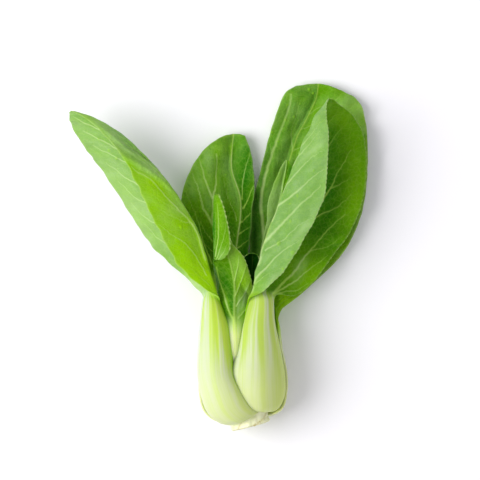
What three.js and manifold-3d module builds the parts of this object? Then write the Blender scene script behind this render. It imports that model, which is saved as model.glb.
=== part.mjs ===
// A head of green bok choy lying on its back: a cut stump, four grown leaves, and three
// young leaves in the throat. Each leaf and its stalk is one closed solid.
//
// Millimetres. +Z is up from the surface, +Y runs from the stump to the leaf tips, and the
// origin is on the surface, in the middle of the flat spot under the left back stalk.

import * as THREE from 'three';
import { mergeVertices } from 'three/addons/utils/BufferGeometryUtils.js';
import Module from 'manifold-3d';

const wasm = await Module();
wasm.setup();

// ---------------------------------------------------------------- driving dimensions
const GAP = 0.35; // clearance kept between pieces that touch
const BLADE_DEPTH = 0.8; // thickness of a leaf blade
const MARGIN_DEPTH = 0.66; // thickness at the free edge
const WING = 0.8; // thin green wing along each side of a stalk
const ROW_STEP = 6.2; // spacing of rows along a leaf
const RIB_SHARE = 1.4; // width given to the rib when columns are spread
const STALK_RIDGE = 0.3; // height of the long ridges on a stalk
const STALK_RIDGES = 3.5; // ridges on each half of a stalk
const EDGE_WAVE = 17; // length of one wave of a leaf's edge
const STUMP_RADIUS = 10.4;
const STUMP_TILT = THREE.MathUtils.degToRad(14.2);
const STUMP_FOOT = new THREE.Vector3(8.2, 0, 21); // middle of the cut face
const ORIGIN = new THREE.Vector3(-4, 22, 0); // middle of the rest spot, in head coordinates

const point = (coordinates) => new THREE.Vector3(...coordinates);

// ---------------------------------------------------------------- stations along a leaf
// A station is one cross-section: nine points from the near margin over the rib to the far
// margin, with the depth of the leaf at each. Near and far are the two halves of the leaf.

/** The point that bows a chord from the rib out to a round arc through both shoulders. */
function flankPoint(rib, shoulder, other, roundness) {
  const chord = shoulder.clone().sub(rib);
  const turn = Math.PI - chord.angleTo(other.clone().sub(rib));
  const along = chord.clone().normalize();
  const outward = rib.clone().multiplyScalar(2).sub(shoulder).sub(other);
  outward.addScaledVector(along, -outward.dot(along)).normalize();
  const rise = 0.5 * Math.tan(turn / 4) * chord.length() * roundness;
  return rib.clone().add(shoulder).multiplyScalar(0.5).addScaledVector(outward, rise);
}

/** Build a station from its two margins, two shoulders and rib. */
function station(near, nearShoulder, rib, farShoulder, far, depth, swell, roundness) {
  const web = (shoulder, margin, rise) => {
    const middle = shoulder.clone().add(margin).multiplyScalar(0.5);
    return middle.setZ(middle.z + rise);
  };
  const thin = Math.max(BLADE_DEPTH, 0.26 * depth);
  const full = Math.max(BLADE_DEPTH, 0.84 * depth);
  return {
    points: [
      near, web(nearShoulder, near, swell[0]), nearShoulder,
      flankPoint(rib, nearShoulder, farShoulder, roundness), rib,
      flankPoint(rib, farShoulder, nearShoulder, roundness),
      farShoulder, web(farShoulder, far, swell[1]), far,
    ],
    depths: [MARGIN_DEPTH, BLADE_DEPTH, thin, full, depth, full, thin, BLADE_DEPTH, MARGIN_DEPTH],
  };
}

/** A station on the stalk: its two edges carry only a narrow wing. */
function stalk(near, rib, far, depth, roundness = 0.9) {
  const [nearShoulder, middle, farShoulder] = [near, rib, far].map(point);
  const wing = (shoulder) => {
    const along = shoulder.clone().sub(middle).normalize();
    return shoulder.clone().addScaledVector(along, WING);
  };
  return station(
    wing(nearShoulder), nearShoulder, middle, farShoulder, wing(farShoulder), depth, [0, 0],
    roundness,
  );
}

/** A station at the neck, where the blade starts: all five points are given. */
function neck(near, nearShoulder, rib, farShoulder, far, depth, swell, roundness = 0.5) {
  return station(
    ...[near, nearShoulder, rib, farShoulder, far].map(point), depth, swell, roundness,
  );
}

/** A station on the blade: the shoulders lie close beside the rib, or a fold opens them. */
function blade(near, rib, far, width, depth, swell, fold = 0) {
  const [nearMargin, middle, farMargin] = [near, rib, far].map(point);
  const shoulder = (margin, lift) => {
    const along = margin.clone().sub(middle);
    const reach = Math.min(width, 0.4 * along.length());
    return middle.clone().addScaledVector(along.normalize(), reach).setZ(middle.z + lift);
  };
  return station(
    nearMargin, shoulder(nearMargin, fold), middle, shoulder(farMargin, -fold), farMargin,
    depth, swell, 0.5,
  );
}

// ---------------------------------------------------------------- the leaves
// Each list runs from the base of the stalk to the tip. outer is +1 where the near-to-far
// order turns the back of the leaf to the positive side of its surface, otherwise -1.

const LEAVES = {
  leaf_front_left: {
    colour: 0x9ac24a,
    roughness: 0.42,
    outer: 1,
    columns: 7,
    wave: [0.5, 1.0],
    stations: [
      stalk([12.4, 8.2, 29.5], [4.5, 3.9, 31.6], [-3.2, 2.2, 19.4], 3.4),
      stalk([10.6, 10, 31.8], [0.4, 5.6, 34.8], [-8.6, 4.2, 18.4], 5),
      stalk([8, 12.8, 33.6], [-3.8, 9.6, 37.2], [-13, 8.8, 17.8], 5.8),
      stalk([4.6, 16.8, 34.6], [-6.6, 16.5, 38.6], [-15, 16, 17.6], 6.2),
      stalk([-0.8, 26, 35], [-9.6, 26.5, 38.4], [-15.6, 27, 17.8], 6.2),
      stalk([-3.6, 39, 33.6], [-11, 39.5, 37.2], [-15.8, 40, 19.4], 5.6),
      stalk([-5.6, 53, 32], [-11.6, 53.5, 36], [-15.6, 54, 22.4], 4.6),
      neck([-7.3, 63.8, 31.1], [-8.2, 63.8, 31], [-12.2, 64.8, 33.4], [-15.6, 65.8, 25.8],
        [-16.1, 65.8, 25], 2.9, [0, 0], 0.85),
      neck([-8.5, 67.2, 35.6], [-8.8, 66.9, 32.4], [-12.6, 67.8, 31.6], [-15.8, 68.6, 26.8],
        [-17.2, 68.4, 25.8], 2.7, [0.2, 0]),
      neck([-15.8, 71.2, 38.6], [-10, 70.4, 33.8], [-12.8, 71, 30.6], [-16, 71.5, 27.6],
        [-20, 71.6, 25.4], 2.7, [0.4, 0]),
      neck([-23.4, 77.2, 40.2], [-12, 77, 34.2], [-13.6, 77.6, 31], [-16.4, 77.8, 28.8],
        [-26.4, 77.6, 23], 2.2, [0.6, 0.6]),
      blade([-29, 83.2, 41.4], [-14.6, 85, 32.8], [-33, 83.4, 21], 1.8, 1.7, [1, 2], 1.8),
      blade([-35.4, 94, 42.4], [-18.2, 97.4, 33.6], [-43.2, 93.4, 19.6], 1.8, 1.6, [1, 3], 1.8),
      blade([-42.8, 108.4, 43], [-25.6, 112.2, 34.6], [-52.4, 106.8, 19], 1.7, 1.4, [1, 3.4], 1.7),
      blade([-50.2, 124.2, 43], [-35.2, 126.2, 35.4], [-62.8, 123.4, 19.4], 1.6, 1.3, [1, 3.4], 1.6),
      blade([-57.2, 137.8, 42], [-44.6, 137.4, 35.8], [-73.2, 137.8, 21], 1.5, 1.2, [0.8, 3], 1.5),
      blade([-66.6, 149.4, 39.6], [-58.4, 150.3, 35], [-80.3, 148, 23.6], 1.3, 1.1, [0.5, 2.2], 1.4),
      blade([-74, 156.4, 36.6], [-69.4, 156.9, 33.4], [-84.4, 155.4, 25.6], 1.2, 1, [0.2, 1.2], 1.3),
      blade([-81.2, 161.2, 33.2], [-79.2, 161.1, 31.2], [-85.4, 159.4, 26.8], 1, 0.9, [0, 0.6], 1.1),
      blade([-84.6, 162.4, 31], [-84.2, 162.4, 29.8], [-85.4, 161.4, 27.8], 0.8, 0.8, [0, 0], 1),
    ],
  },
  leaf_front_right: {
    colour: 0x6f9f3a,
    roughness: 0.42,
    outer: -1,
    columns: 7,
    wave: [0.5, 1.3],
    stations: [
      stalk([8.4, 9.6, 27.6], [13.8, 9, 30.4], [18.2, 9, 19.8], 3.2),
      stalk([5.4, 12, 28.8], [13.8, 11, 34.8], [21.2, 11.6, 18.4], 4.6),
      stalk([2.6, 17.6, 28.6], [13.2, 17.4, 38.2], [23.4, 18, 18.2], 5.8),
      stalk([1.2, 27, 27.8], [13, 27.4, 39.2], [24, 27.6, 18.8], 6.2),
      stalk([2.8, 40, 28], [12.8, 40.4, 38.2], [21.4, 41, 21.6], 5.8),
      stalk([4.8, 53, 28.8], [12.8, 53.6, 37], [18.8, 54, 25], 5),
      neck([6.3, 63.6, 31.6], [7, 63.4, 30.4], [13.8, 65, 34.6], [19.7, 66.4, 27.8],
        [20.3, 66.6, 27], 3.9, [0, 0]),
      neck([7.8, 66.8, 36.4], [7.4, 66.6, 32.2], [13.2, 68, 33], [19.4, 68.4, 28.2],
        [21.2, 67.8, 26.2], 3.2, [0.2, 0]),
      neck([14, 69.4, 39], [8.6, 69.6, 33.4], [13, 70.6, 31.6], [19, 70.4, 28.6],
        [23.6, 68.2, 24.6], 3.1, [0.4, 0]),
      neck([20, 74.8, 40], [10.4, 75.4, 33.8], [12.8, 76, 31], [17, 74.6, 27.8],
        [31, 67.4, 20.6], 2.5, [0.6, -1]),
      neck([25.6, 80.8, 40.6], [12, 82.4, 33.4], [13, 83.4, 30.6], [15.8, 82.4, 28],
        [41, 75, 18.6], 2, [0.8, -2]),
      blade([33, 92.4, 41], [15.4, 94.4, 31.2], [50.4, 87.6, 17.4], 1.9, 1.7, [1, -3], 1.8),
      blade([40, 104.6, 41.2], [19.8, 106.2, 31.2], [59.2, 99.4, 16.6], 1.9, 1.6, [1, -3.4], 1.8),
      blade([46, 118.8, 41.4], [25, 120.2, 31.6], [65.8, 115, 16], 1.8, 1.5, [1, -3.4], 1.7),
      blade([47.6, 135.2, 41.2], [30.8, 134.6, 32.2], [68.2, 134.6, 15.4], 1.7, 1.3, [1, -3.2], 1.6),
      blade([48.2, 150.4, 39.6], [36.4, 148.4, 32.4], [66.8, 149.6, 15.8], 1.5, 1.2, [0.8, -2.6], 1.5),
      blade([47, 160.6, 36.4], [41.6, 159.8, 31.6], [61.4, 160.2, 17.8], 1.3, 1.1, [0.4, -1.6], 1.4),
      blade([47.6, 166.4, 33], [46.2, 166.2, 30], [54.2, 165.8, 21.8], 1, 0.9, [0, -0.6], 1.2),
      blade([48.8, 168.6, 30.4], [48.4, 168.6, 29], [50.6, 168.5, 26.4], 0.8, 0.8, [0, 0], 1),
    ],
  },
  leaf_back_right: {
    colour: 0x5f9a35,
    roughness: 0.4,
    outer: 1,
    columns: 7,
    wave: [1.1, 1.3],
    stations: [
      stalk([6, 5.4, 13.6], [12, 5.4, 10.4], [19.2, 6.4, 20.4], 3.2),
      stalk([2.2, 9.6, 12.4], [12.8, 8.8, 5.6], [24.2, 9.6, 21.4], 4.6),
      stalk([1.4, 17.6, 12.2], [13, 17.6, 3.1], [26.3, 17.6, 21.6], 5.8),
      stalk([2, 28, 12], [13.4, 28, 2.9], [26.3, 28, 20.6], 6),
      stalk([4.6, 42, 11.6], [14.4, 42, 3.6], [23, 43, 18], 5.4),
      stalk([8, 56, 11.6], [16, 57, 4.6], [20.8, 54.6, 14.6], 4.4, 0.8),
      neck([8, 69.6, 10.6], [11.6, 70, 8.6], [18, 72, 5], [22.4, 68, 9], [27.4, 63.4, 12.6],
        3.4, [0, 0]),
      neck([7.4, 84, 8], [15, 84.6, 6], [20.2, 85.4, 4.4], [25.4, 82.6, 6.8], [42.4, 75.4, 10.6],
        2.9, [-0.2, -0.6]),
      blade([7.6, 100, 6], [22.4, 101.4, 3.6], [56, 89.4, 9.4], 3.4, 2.6, [-0.4, 0]),
      blade([8.9, 115, 5.4], [24.8, 116, 3], [65, 107.6, 7.8], 2.8, 2.3, [-0.2, 1.2]),
      blade([12.8, 131, 6.8], [27.4, 132.6, 2.5], [68.4, 125.4, 6.8], 2.4, 2.1, [0.6, 2]),
      blade([17.4, 149, 7.2], [32, 149, 1.9], [69, 142.6, 6.4], 2, 1.9, [1.2, 2.6]),
      blade([21.6, 162.6, 6.8], [38, 160.6, 0.9], [67.8, 158, 5.8], 1.7, 1.7, [1.4, 2.8]),
      blade([26.4, 173, 6.4], [42, 169.6, 2], [64.2, 168.2, 6], 1.3, 1.4, [1.2, 2.2]),
      blade([34, 177.2, 5.8], [44, 177, 4.6], [54.6, 173.9, 5.6], 1, 1, [0.8, 1]),
    ],
  },
  leaf_back_left: {
    colour: 0x4c8a2a,
    roughness: 0.4,
    outer: 1,
    columns: 7,
    wave: [1.2, 0.9],
    stations: [
      stalk([-4, 2, 19.8], [2.2, 3.4, 10.8], [7.6, 4.2, 9.4], 3),
      stalk([-10.8, 3.8, 20.4], [-2, 5.4, 5.6], [5.6, 5.6, 5.6], 4.2),
      stalk([-15.8, 8.6, 20.8], [-5.6, 9.4, 3.6], [4.4, 9.4, 4], 5.2),
      stalk([-17.9, 17, 20.8], [-7.4, 17, 3.2], [3.2, 17, 3.6], 5.8),
      stalk([-18, 28, 20.6], [-7.8, 28, 3.2], [2.2, 28, 3.8], 5.8),
      stalk([-16.9, 42, 18], [-7.2, 42, 3.8], [1.4, 42, 5], 5.2),
      stalk([-12.4, 57, 14.2], [-5.4, 57, 4.8], [1.8, 57, 7.4], 4.2, 0.8),
      neck([-11.6, 70, 12.6], [-8.6, 70.4, 9.6], [-3.4, 71, 5.2], [1.4, 70.6, 7], [4.6, 70.2, 8.8],
        3.3, [0, 0]),
      neck([-17, 83, 12.6], [-6.6, 83.6, 7], [-1.6, 84, 5], [3, 84, 6.6], [6.8, 84, 9],
        2.7, [-0.4, 0]),
      blade([-24, 96.6, 12.4], [0.6, 99, 4.8], [7.8, 97, 9], 3, 2.2, [0.6, 0]),
      blade([-28.2, 109, 11.6], [3, 110, 4.4], [8.9, 110, 9], 2.2, 1.7, [2.2, 0]),
      blade([-27.6, 119.4, 10.8], [2.4, 119.6, 4], [10.2, 121, 8.8], 2, 1.6, [3, 0.4]),
      blade([-22.2, 134.4, 9.8], [-1.8, 133.2, 3.2], [9.6, 133.4, 8.6], 1.6, 1.5, [2.6, 1.2]),
      blade([-14, 145.2, 8.6], [-1.6, 143, 2.4], [7.9, 143.8, 7.6], 1.3, 1.3, [1.6, 1.4]),
      blade([-6.8, 149.9, 7.4], [-0.6, 150.6, 5], [5.6, 150.7, 6.6], 0.8, 1, [0.4, 0.4]),
    ],
  },
  leaf_young_centre: {
    colour: 0x8fbf3f,
    roughness: 0.45,
    outer: -1,
    columns: 5,
    wave: [0.25, 0.35],
    stations: [
      stalk([1.4, 11.4, 23.4], [4.4, 11, 25.2], [7.6, 11.8, 23.6], 2.4, 0.5),
      stalk([-2.6, 24, 24.6], [2.6, 24, 27], [7.6, 24, 23.2], 3, 0.7),
      stalk([-4.6, 38, 25], [1.4, 38, 28], [8.6, 38, 22.8], 3.2, 0.8),
      stalk([-4.6, 50, 25.4], [1.6, 50, 28.4], [9.6, 50, 23.4], 2.8, 0.8),
      stalk([-6.6, 62, 26.4], [0, 62, 28.6], [9.8, 62, 24.4], 2.3, 0.6),
      neck([-9.6, 73, 26], [-8, 74.4, 28.4], [-0.4, 74, 28.2], [3, 74, 27.6], [9.2, 73, 25.4],
        1.7, [0, 0.5]),
      neck([-11, 81.8, 28], [-9.6, 82.4, 30.2], [-2.2, 83.4, 29], [1, 83.4, 28.8], [6.2, 84, 27.4],
        1.4, [0, 0.6]),
      neck([-10.9, 85.9, 33.4], [-10.5, 85.8, 31.2], [-3.2, 86.8, 29.4], [-0.4, 87, 29.2],
        [4.6, 87.8, 28.2], 1.2, [0, 0.5]),
      neck([-6.4, 85.9, 35.2], [-10.8, 89.6, 32.2], [-4.2, 90, 29.8], [-1.6, 90.4, 29.6],
        [2.4, 90.6, 29], 1, [0.6, 0.3]),
      neck([-2.6, 90.4, 36], [-10.9, 94.4, 32.4], [-5.2, 95, 30.2], [-3.4, 95, 30.1],
        [-1.2, 94.6, 30], 0.9, [0.8, 0.2]),
      neck([-2.3, 97.6, 36.2], [-11.1, 100, 32.6], [-6.2, 101, 30.8], [-4.8, 101, 30.8],
        [-3, 101, 30.8], 0.9, [0.8, 0.1]),
      neck([-4, 107.4, 35.8], [-11.1, 108, 32.8], [-7.6, 109, 31.2], [-6.4, 109, 31.2],
        [-4.8, 109, 31.2], 0.8, [0.7, 0]),
      neck([-6.2, 115.2, 35.4], [-10.9, 115.2, 33.2], [-8.8, 115.6, 31.8], [-7.8, 115.6, 31.8],
        [-6.6, 115.6, 31.8], 0.8, [0.4, 0]),
      neck([-8, 119.4, 34.8], [-10.4, 119.5, 33.6], [-9.6, 119.8, 32.4], [-8.8, 119.8, 32.3],
        [-7.8, 119.8, 32.3], 0.8, [0, 0]),
    ],
  },
  leaf_slender: {
    colour: 0x5f9f52,
    roughness: 0.42,
    outer: 1,
    columns: 4,
    wave: [0.3, 0.3],
    stations: [
      stalk([6.8, 11.6, 17], [9.6, 11.8, 15.6], [12.6, 12, 17], 2.2, 0.5),
      stalk([6.6, 30, 16.6], [10.6, 30, 14.6], [14.6, 30, 17], 2.4, 0.7),
      stalk([7.2, 50, 16.4], [11.4, 50, 14.4], [15.4, 50, 17], 2.4, 0.7),
      stalk([8.6, 68, 16.2], [12.8, 68, 14.2], [16.8, 68, 16.8], 2.2, 0.7),
      neck([10.4, 80, 15.8], [11.8, 80.4, 15.2], [14.8, 81, 13.8], [17.8, 80.4, 15], [20, 80, 16.2],
        1.9, [0, 0]),
      blade([13.8, 94, 15.2], [17.8, 94.4, 13.6], [23.4, 93, 16], 1.4, 1.4, [0, 0.2]),
      blade([16.2, 106, 14.8], [21, 106.4, 13], [28.6, 104.4, 15.8], 1.2, 1.3, [0.3, 0.4]),
      blade([17, 116, 14.4], [23.6, 117, 12.6], [31.4, 115, 15.4], 1.1, 1.2, [0.4, 0.5]),
      blade([20.8, 127.4, 14], [25.4, 127, 12.4], [31.6, 126, 14.8], 0.9, 1.1, [0.3, 0.4]),
      blade([24, 134.4, 13.4], [26.6, 134, 12.4], [30.4, 133.8, 14], 0.7, 1, [0.1, 0.2]),
      blade([25.9, 137.4, 13], [26.9, 137.6, 12.6], [28.2, 137.2, 13.2], 0.4, 0.8, [0, 0]),
    ],
  },
  leaf_inner_tiny: {
    colour: 0x3f7a24,
    roughness: 0.45,
    outer: 1,
    columns: 4,
    wave: [0.2, 0.2],
    stations: [
      stalk([4.6, 12, 20.6], [6.8, 12.2, 19.6], [9.2, 12.2, 20.8], 1.4, 0.5),
      stalk([4.4, 32, 21.2], [7, 32, 19.6], [9.8, 32, 21.2], 1.6, 0.6),
      stalk([4.4, 52, 21.6], [7.6, 52, 19.6], [10.8, 52, 21.6], 1.5, 0.6),
      stalk([4.6, 66, 22.4], [8, 66, 19.8], [11.6, 66, 22.4], 1.3, 0.7),
      neck([3.6, 74, 23.6], [5.2, 74, 21.4], [8.4, 74, 19.4], [11.4, 74, 21.4], [13, 74, 23.6],
        1.1, [-0.1, -0.1]),
      neck([4, 82, 25], [5.2, 82, 21.8], [8.8, 82, 19.2], [12, 82, 21.8], [13.2, 82, 25],
        0.9, [-0.2, -0.2]),
      neck([5, 87.6, 25.8], [6, 88.2, 23], [9.2, 88.6, 20.8], [11.6, 88, 23], [12.4, 87, 25.8],
        0.8, [-0.1, -0.1]),
      neck([6.2, 88.4, 26.6], [7, 89, 25.2], [9.3, 89.4, 24.2], [11.2, 88.8, 25.2],
        [12, 87.8, 26.6], 0.8, [0, 0]),
    ],
  },
};

// ---------------------------------------------------------------- curves
/** Centripetal Catmull-Rom through values, at t between 0 and the last index. */
function splineAt(points, t) {
  const last = points.length - 1;
  const index = Math.min(Math.floor(t), last - 1);
  const share = t - index;
  const from = points[index];
  const to = points[index + 1];
  const before = index > 0 ? points[index - 1] : from.clone().multiplyScalar(2).sub(to);
  const after = index < last - 1 ? points[index + 2] : to.clone().multiplyScalar(2).sub(from);
  const knot = (a, b) => Math.max(Math.sqrt(a.distanceTo(b)), 1e-4);
  const [d0, d1, d2] = [knot(before, from), knot(from, to), knot(to, after)];
  const leave = slope(before, from, to, d0, d1);
  const arrive = slope(from, to, after, d1, d2);
  const s2 = share * share;
  const s3 = s2 * share;
  return new THREE.Vector3()
    .addScaledVector(from, 2 * s3 - 3 * s2 + 1)
    .addScaledVector(leave, (s3 - 2 * s2 + share) * d1)
    .addScaledVector(to, 3 * s2 - 2 * s3)
    .addScaledVector(arrive, (s3 - s2) * d1);
}

/** Tangent at the middle of three points, for knot spacings before and after it. */
function slope(a, b, c, before, after) {
  return b.clone().sub(a).divideScalar(before)
    .sub(c.clone().sub(a).divideScalar(before + after))
    .add(c.clone().sub(b).divideScalar(after));
}

const mix = (a, b, share) => a + (b - a) * share;
const ease = (low, high, value) => THREE.MathUtils.smoothstep(value, low, high);

// ---------------------------------------------------------------- a leaf as a solid
/** The nine points and depths of the leaf's cross-section at a station number. */
function sectionAt(leaf, along) {
  const rails = leaf.stations[0].points.map((_, k) => leaf.stations.map((s) => s.points[k]));
  const index = Math.min(Math.floor(along), leaf.stations.length - 2);
  const [here, next] = [leaf.stations[index], leaf.stations[index + 1]];
  return {
    points: rails.map((rail) => splineAt(rail, along)),
    depths: here.depths.map((depth, k) => mix(depth, next.depths[k], along - index)),
  };
}

/** Places of the columns across a section, spread by length on each side of the rib. */
function columnKnots(section, columns) {
  const knots = [];
  for (const side of [-1, 1]) {
    const reach = [0];
    for (let k = 0; k < 4; k += 1) {
      const span = section.points[4 + side * k].distanceTo(section.points[4 + side * (k + 1)]);
      reach.push(reach[k] + span + (k < 2 ? RIB_SHARE : 0));
    }
    for (let column = side < 0 ? columns : 1; column >= 0 && column <= columns; column += side) {
      const want = (reach[4] * column) / columns;
      let k = 0;
      while (k < 3 && reach[k + 1] < want) {
        k += 1;
      }
      const inside = k + (want - reach[k]) / (reach[k + 1] - reach[k]);
      knots.push({ knot: 4 + side * Math.min(inside, 4), side, share: column / columns });
    }
  }
  return knots;
}

/** Station numbers of the rows, about ROW_STEP apart along the rib. */
function rowPlaces(leaf) {
  const places = [0];
  for (let index = 0; index < leaf.stations.length - 1; index += 1) {
    const [here, next] = [leaf.stations[index].points, leaf.stations[index + 1].points];
    const span = Math.max(here[4].distanceTo(next[4]), here[8].distanceTo(next[8]));
    const rows = Math.max(1, Math.round(span / ROW_STEP));
    for (let row = 1; row <= rows; row += 1) {
      places.push(index + row / rows);
    }
  }
  return places;
}

/** The leaf's middle surface as rows of points, with its depth and ridges at each. */
function middleSurface(leaf) {
  let travelled = 0;
  let previous = null;
  return rowPlaces(leaf).map((along) => {
    const section = sectionAt(leaf, along);
    travelled += previous ? section.points[4].distanceTo(previous) : 0;
    previous = section.points[4];
    const reach = (side) => section.points[4 + 2 * side].distanceTo(section.points[4 + 4 * side]);
    return columnKnots(section, leaf.columns).map(({ knot, side, share }) => {
      const index = Math.min(Math.floor(knot), 7);
      const leafy = ease(3, 12, reach(side));
      const phase = (travelled / EDGE_WAVE) * 2 * Math.PI + (side < 0 ? 0 : 1.9);
      const height = leaf.wave[side < 0 ? 0 : 1] * leafy * share ** 2;
      const place = splineAt(section.points, knot);
      place.z += height * Math.sin(phase + 0.6 * Math.sin(0.37 * phase));
      const ridge = Math.cos(2 * Math.PI * STALK_RIDGES * share) * (1 - share ** 4);
      return {
        place,
        depth: mix(section.depths[index], section.depths[index + 1], knot - index),
        ridge: STALK_RIDGE * ridge * (1 - leafy) * ease(1.6, 4, section.depths[4]),
      };
    });
  });
}

/** Close a leaf's two faces and its rim into a solid, grown by extra on every side. */
function leafSolid(leaf, extra = 0) {
  const rows = middleSurface(leaf);
  const [height, width] = [rows.length, rows[0].length];
  const at = (i, j) => rows[Math.min(Math.max(i, 0), height - 1)][Math.min(Math.max(j, 0), width - 1)];
  const faces = [[], []];
  for (let i = 0; i < height; i += 1) {
    for (let j = 0; j < width; j += 1) {
      const along = at(i + 1, j).place.clone().sub(at(i - 1, j).place);
      const across = at(i, j + 1).place.clone().sub(at(i, j - 1).place);
      const normal = along.clone().cross(across).normalize();
      const { place, depth, ridge } = at(i, j);
      const home = place.clone();
      if (extra > 0 && (j === 0 || j === width - 1)) {
        home.addScaledVector(across.normalize(), j === 0 ? -extra : extra);
      }
      if (extra > 0 && (i === 0 || i === height - 1)) {
        home.addScaledVector(along.normalize(), i === 0 ? -extra : extra);
      }
      [1, -1].forEach((side, face) => {
        const relief = side === leaf.outer ? ridge : 0;
        faces[face].push(home.clone().addScaledVector(normal, side * (depth / 2 + relief + extra)));
      });
    }
  }
  const count = height * width;
  const index = (i, j, face) => face * count + i * width + j;
  const triangles = [];
  const quad = (a, b, c, d) => triangles.push(a, b, c, a, c, d);
  for (let i = 0; i < height - 1; i += 1) {
    for (let j = 0; j < width - 1; j += 1) {
      quad(index(i, j, 0), index(i + 1, j, 0), index(i + 1, j + 1, 0), index(i, j + 1, 0));
      triangles.push(index(i, j, 1), index(i + 1, j + 1, 1), index(i + 1, j, 1));
      triangles.push(index(i, j, 1), index(i, j + 1, 1), index(i + 1, j + 1, 1));
    }
    quad(index(i, 0, 1), index(i + 1, 0, 1), index(i + 1, 0, 0), index(i, 0, 0));
    quad(index(i, width - 1, 0), index(i + 1, width - 1, 0), index(i + 1, width - 1, 1),
      index(i, width - 1, 1));
  }
  for (let j = 0; j < width - 1; j += 1) {
    quad(index(0, j, 0), index(0, j + 1, 0), index(0, j + 1, 1), index(0, j, 1));
    quad(index(height - 1, j, 1), index(height - 1, j + 1, 1), index(height - 1, j + 1, 0),
      index(height - 1, j, 0));
  }
  return solidOf(faces.flat(), triangles);
}

/** A manifold solid from points and triangles, with its faces pointing out. */
function solidOf(points, triangles) {
  const build = (order) => new wasm.Manifold(new wasm.Mesh({
    numProp: 3,
    vertProperties: new Float32Array(points.flatMap((p) => [p.x, p.y, p.z])),
    triVerts: new Uint32Array(order),
  }));
  const solid = build(triangles);
  return solid.volume() > 0 ? solid : build([...triangles].reverse());
}

/** A manifold solid from a closed three.js geometry. */
function solidFrom(geometry) {
  const bare = geometry.clone();
  bare.deleteAttribute('normal');
  bare.deleteAttribute('uv');
  const merged = mergeVertices(bare, 1e-4);
  const positions = merged.getAttribute('position');
  const points = Array.from({ length: positions.count }, (_, i) => (
    new THREE.Vector3().fromBufferAttribute(positions, i)
  ));
  return solidOf(points, Array.from(merged.index.array));
}

// ---------------------------------------------------------------- the stump
/** The crown: a tapered root plate under a dome that the stalks grow from. */
function stumpSolid(extra = 0) {
  const outline = [
    [0, -extra], [STUMP_RADIUS - 0.8 + extra, -extra], [STUMP_RADIUS + extra, 0.9],
    [STUMP_RADIUS - 0.5 + extra, 3], [STUMP_RADIUS - 0.3 + extra, 5.2],
    [STUMP_RADIUS + 0.8 + extra, 7.4], [STUMP_RADIUS + extra, 10], [7.4 + extra, 12.6],
    [3.8 + extra, 13.8 + extra / 2], [0, 14.2 + extra],
  ].map(([radius, height]) => new THREE.Vector2(radius, height));
  const geometry = new THREE.LatheGeometry(outline, 28);
  const placed = geometry.getAttribute('position');
  for (let i = 0; i < placed.count; i += 1) {
    const turn = Math.atan2(placed.getZ(i), placed.getX(i));
    const ripple = 1 + 0.02 * Math.sin(5 * turn) + 0.015 * Math.sin(8 * turn + 1);
    placed.setXYZ(i, placed.getX(i) * ripple, placed.getY(i), placed.getZ(i) * ripple);
  }
  geometry.rotateZ(STUMP_TILT);
  geometry.translate(...STUMP_FOOT.toArray());
  return solidFrom(geometry);
}

// ---------------------------------------------------------------- fitting and placing
/** Everything below the resting plane. */
const surface = solidFrom(new THREE.BoxGeometry(400, 400, 60).translate(0, 60, -30));

/** The largest single body of a solid. */
function mainBody(solid) {
  return solid.decompose().sort((a, b) => b.volume() - a.volume())[0];
}

const material = (colour, roughness) => (
  new THREE.MeshStandardMaterial({ color: colour, roughness, metalness: 0 })
);

/** A named mesh of a solid, moved so that the rest spot is at the origin. */
function meshOf(name, solid, finish) {
  const { vertProperties, triVerts } = solid.getMesh();
  const geometry = new THREE.BufferGeometry();
  geometry.setAttribute('position', new THREE.BufferAttribute(new Float32Array(vertProperties), 3));
  geometry.setIndex(new THREE.BufferAttribute(new Uint32Array(triVerts), 1));
  geometry.computeVertexNormals();
  const mesh = new THREE.Mesh(geometry, finish);
  mesh.name = name;
  mesh.position.copy(ORIGIN).negate();
  return mesh;
}

const head = new THREE.Group();
head.name = 'bok_choy';
head.add(meshOf('root_stump', stumpSolid(), material(0xe6dfb4, 0.7)));

// Each leaf is cut clear of the stump and of the leaves fitted before it.
const kept = [stumpSolid(GAP), surface];
for (const [name, leaf] of Object.entries(LEAVES)) {
  const solid = kept.reduce((body, neighbour) => body.subtract(neighbour), leafSolid(leaf));
  head.add(meshOf(name, mainBody(solid), material(leaf.colour, leaf.roughness)));
  kept.push(leafSolid(leaf, GAP));
}

export default head;
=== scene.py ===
"""A head of green bok choy lying on its back: a cut stump, four grown leaves with thick pale
stalks, and three young leaves in the throat, all on a pale floor.

Sizes are in millimetres in the head's own coordinates (x to the right, y from the stump to the
leaf tips, z up from the surface) until a piece is placed, when they become metres from the frame's
origin. Each leaf is one surface through a list of cross-sections. It is closed into a thin body,
and its veins, quilting, ridges and edge are raised on it as real relief.
"""

import logging
import math
from dataclasses import dataclass, field
from enum import Enum
from typing import NamedTuple

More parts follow.
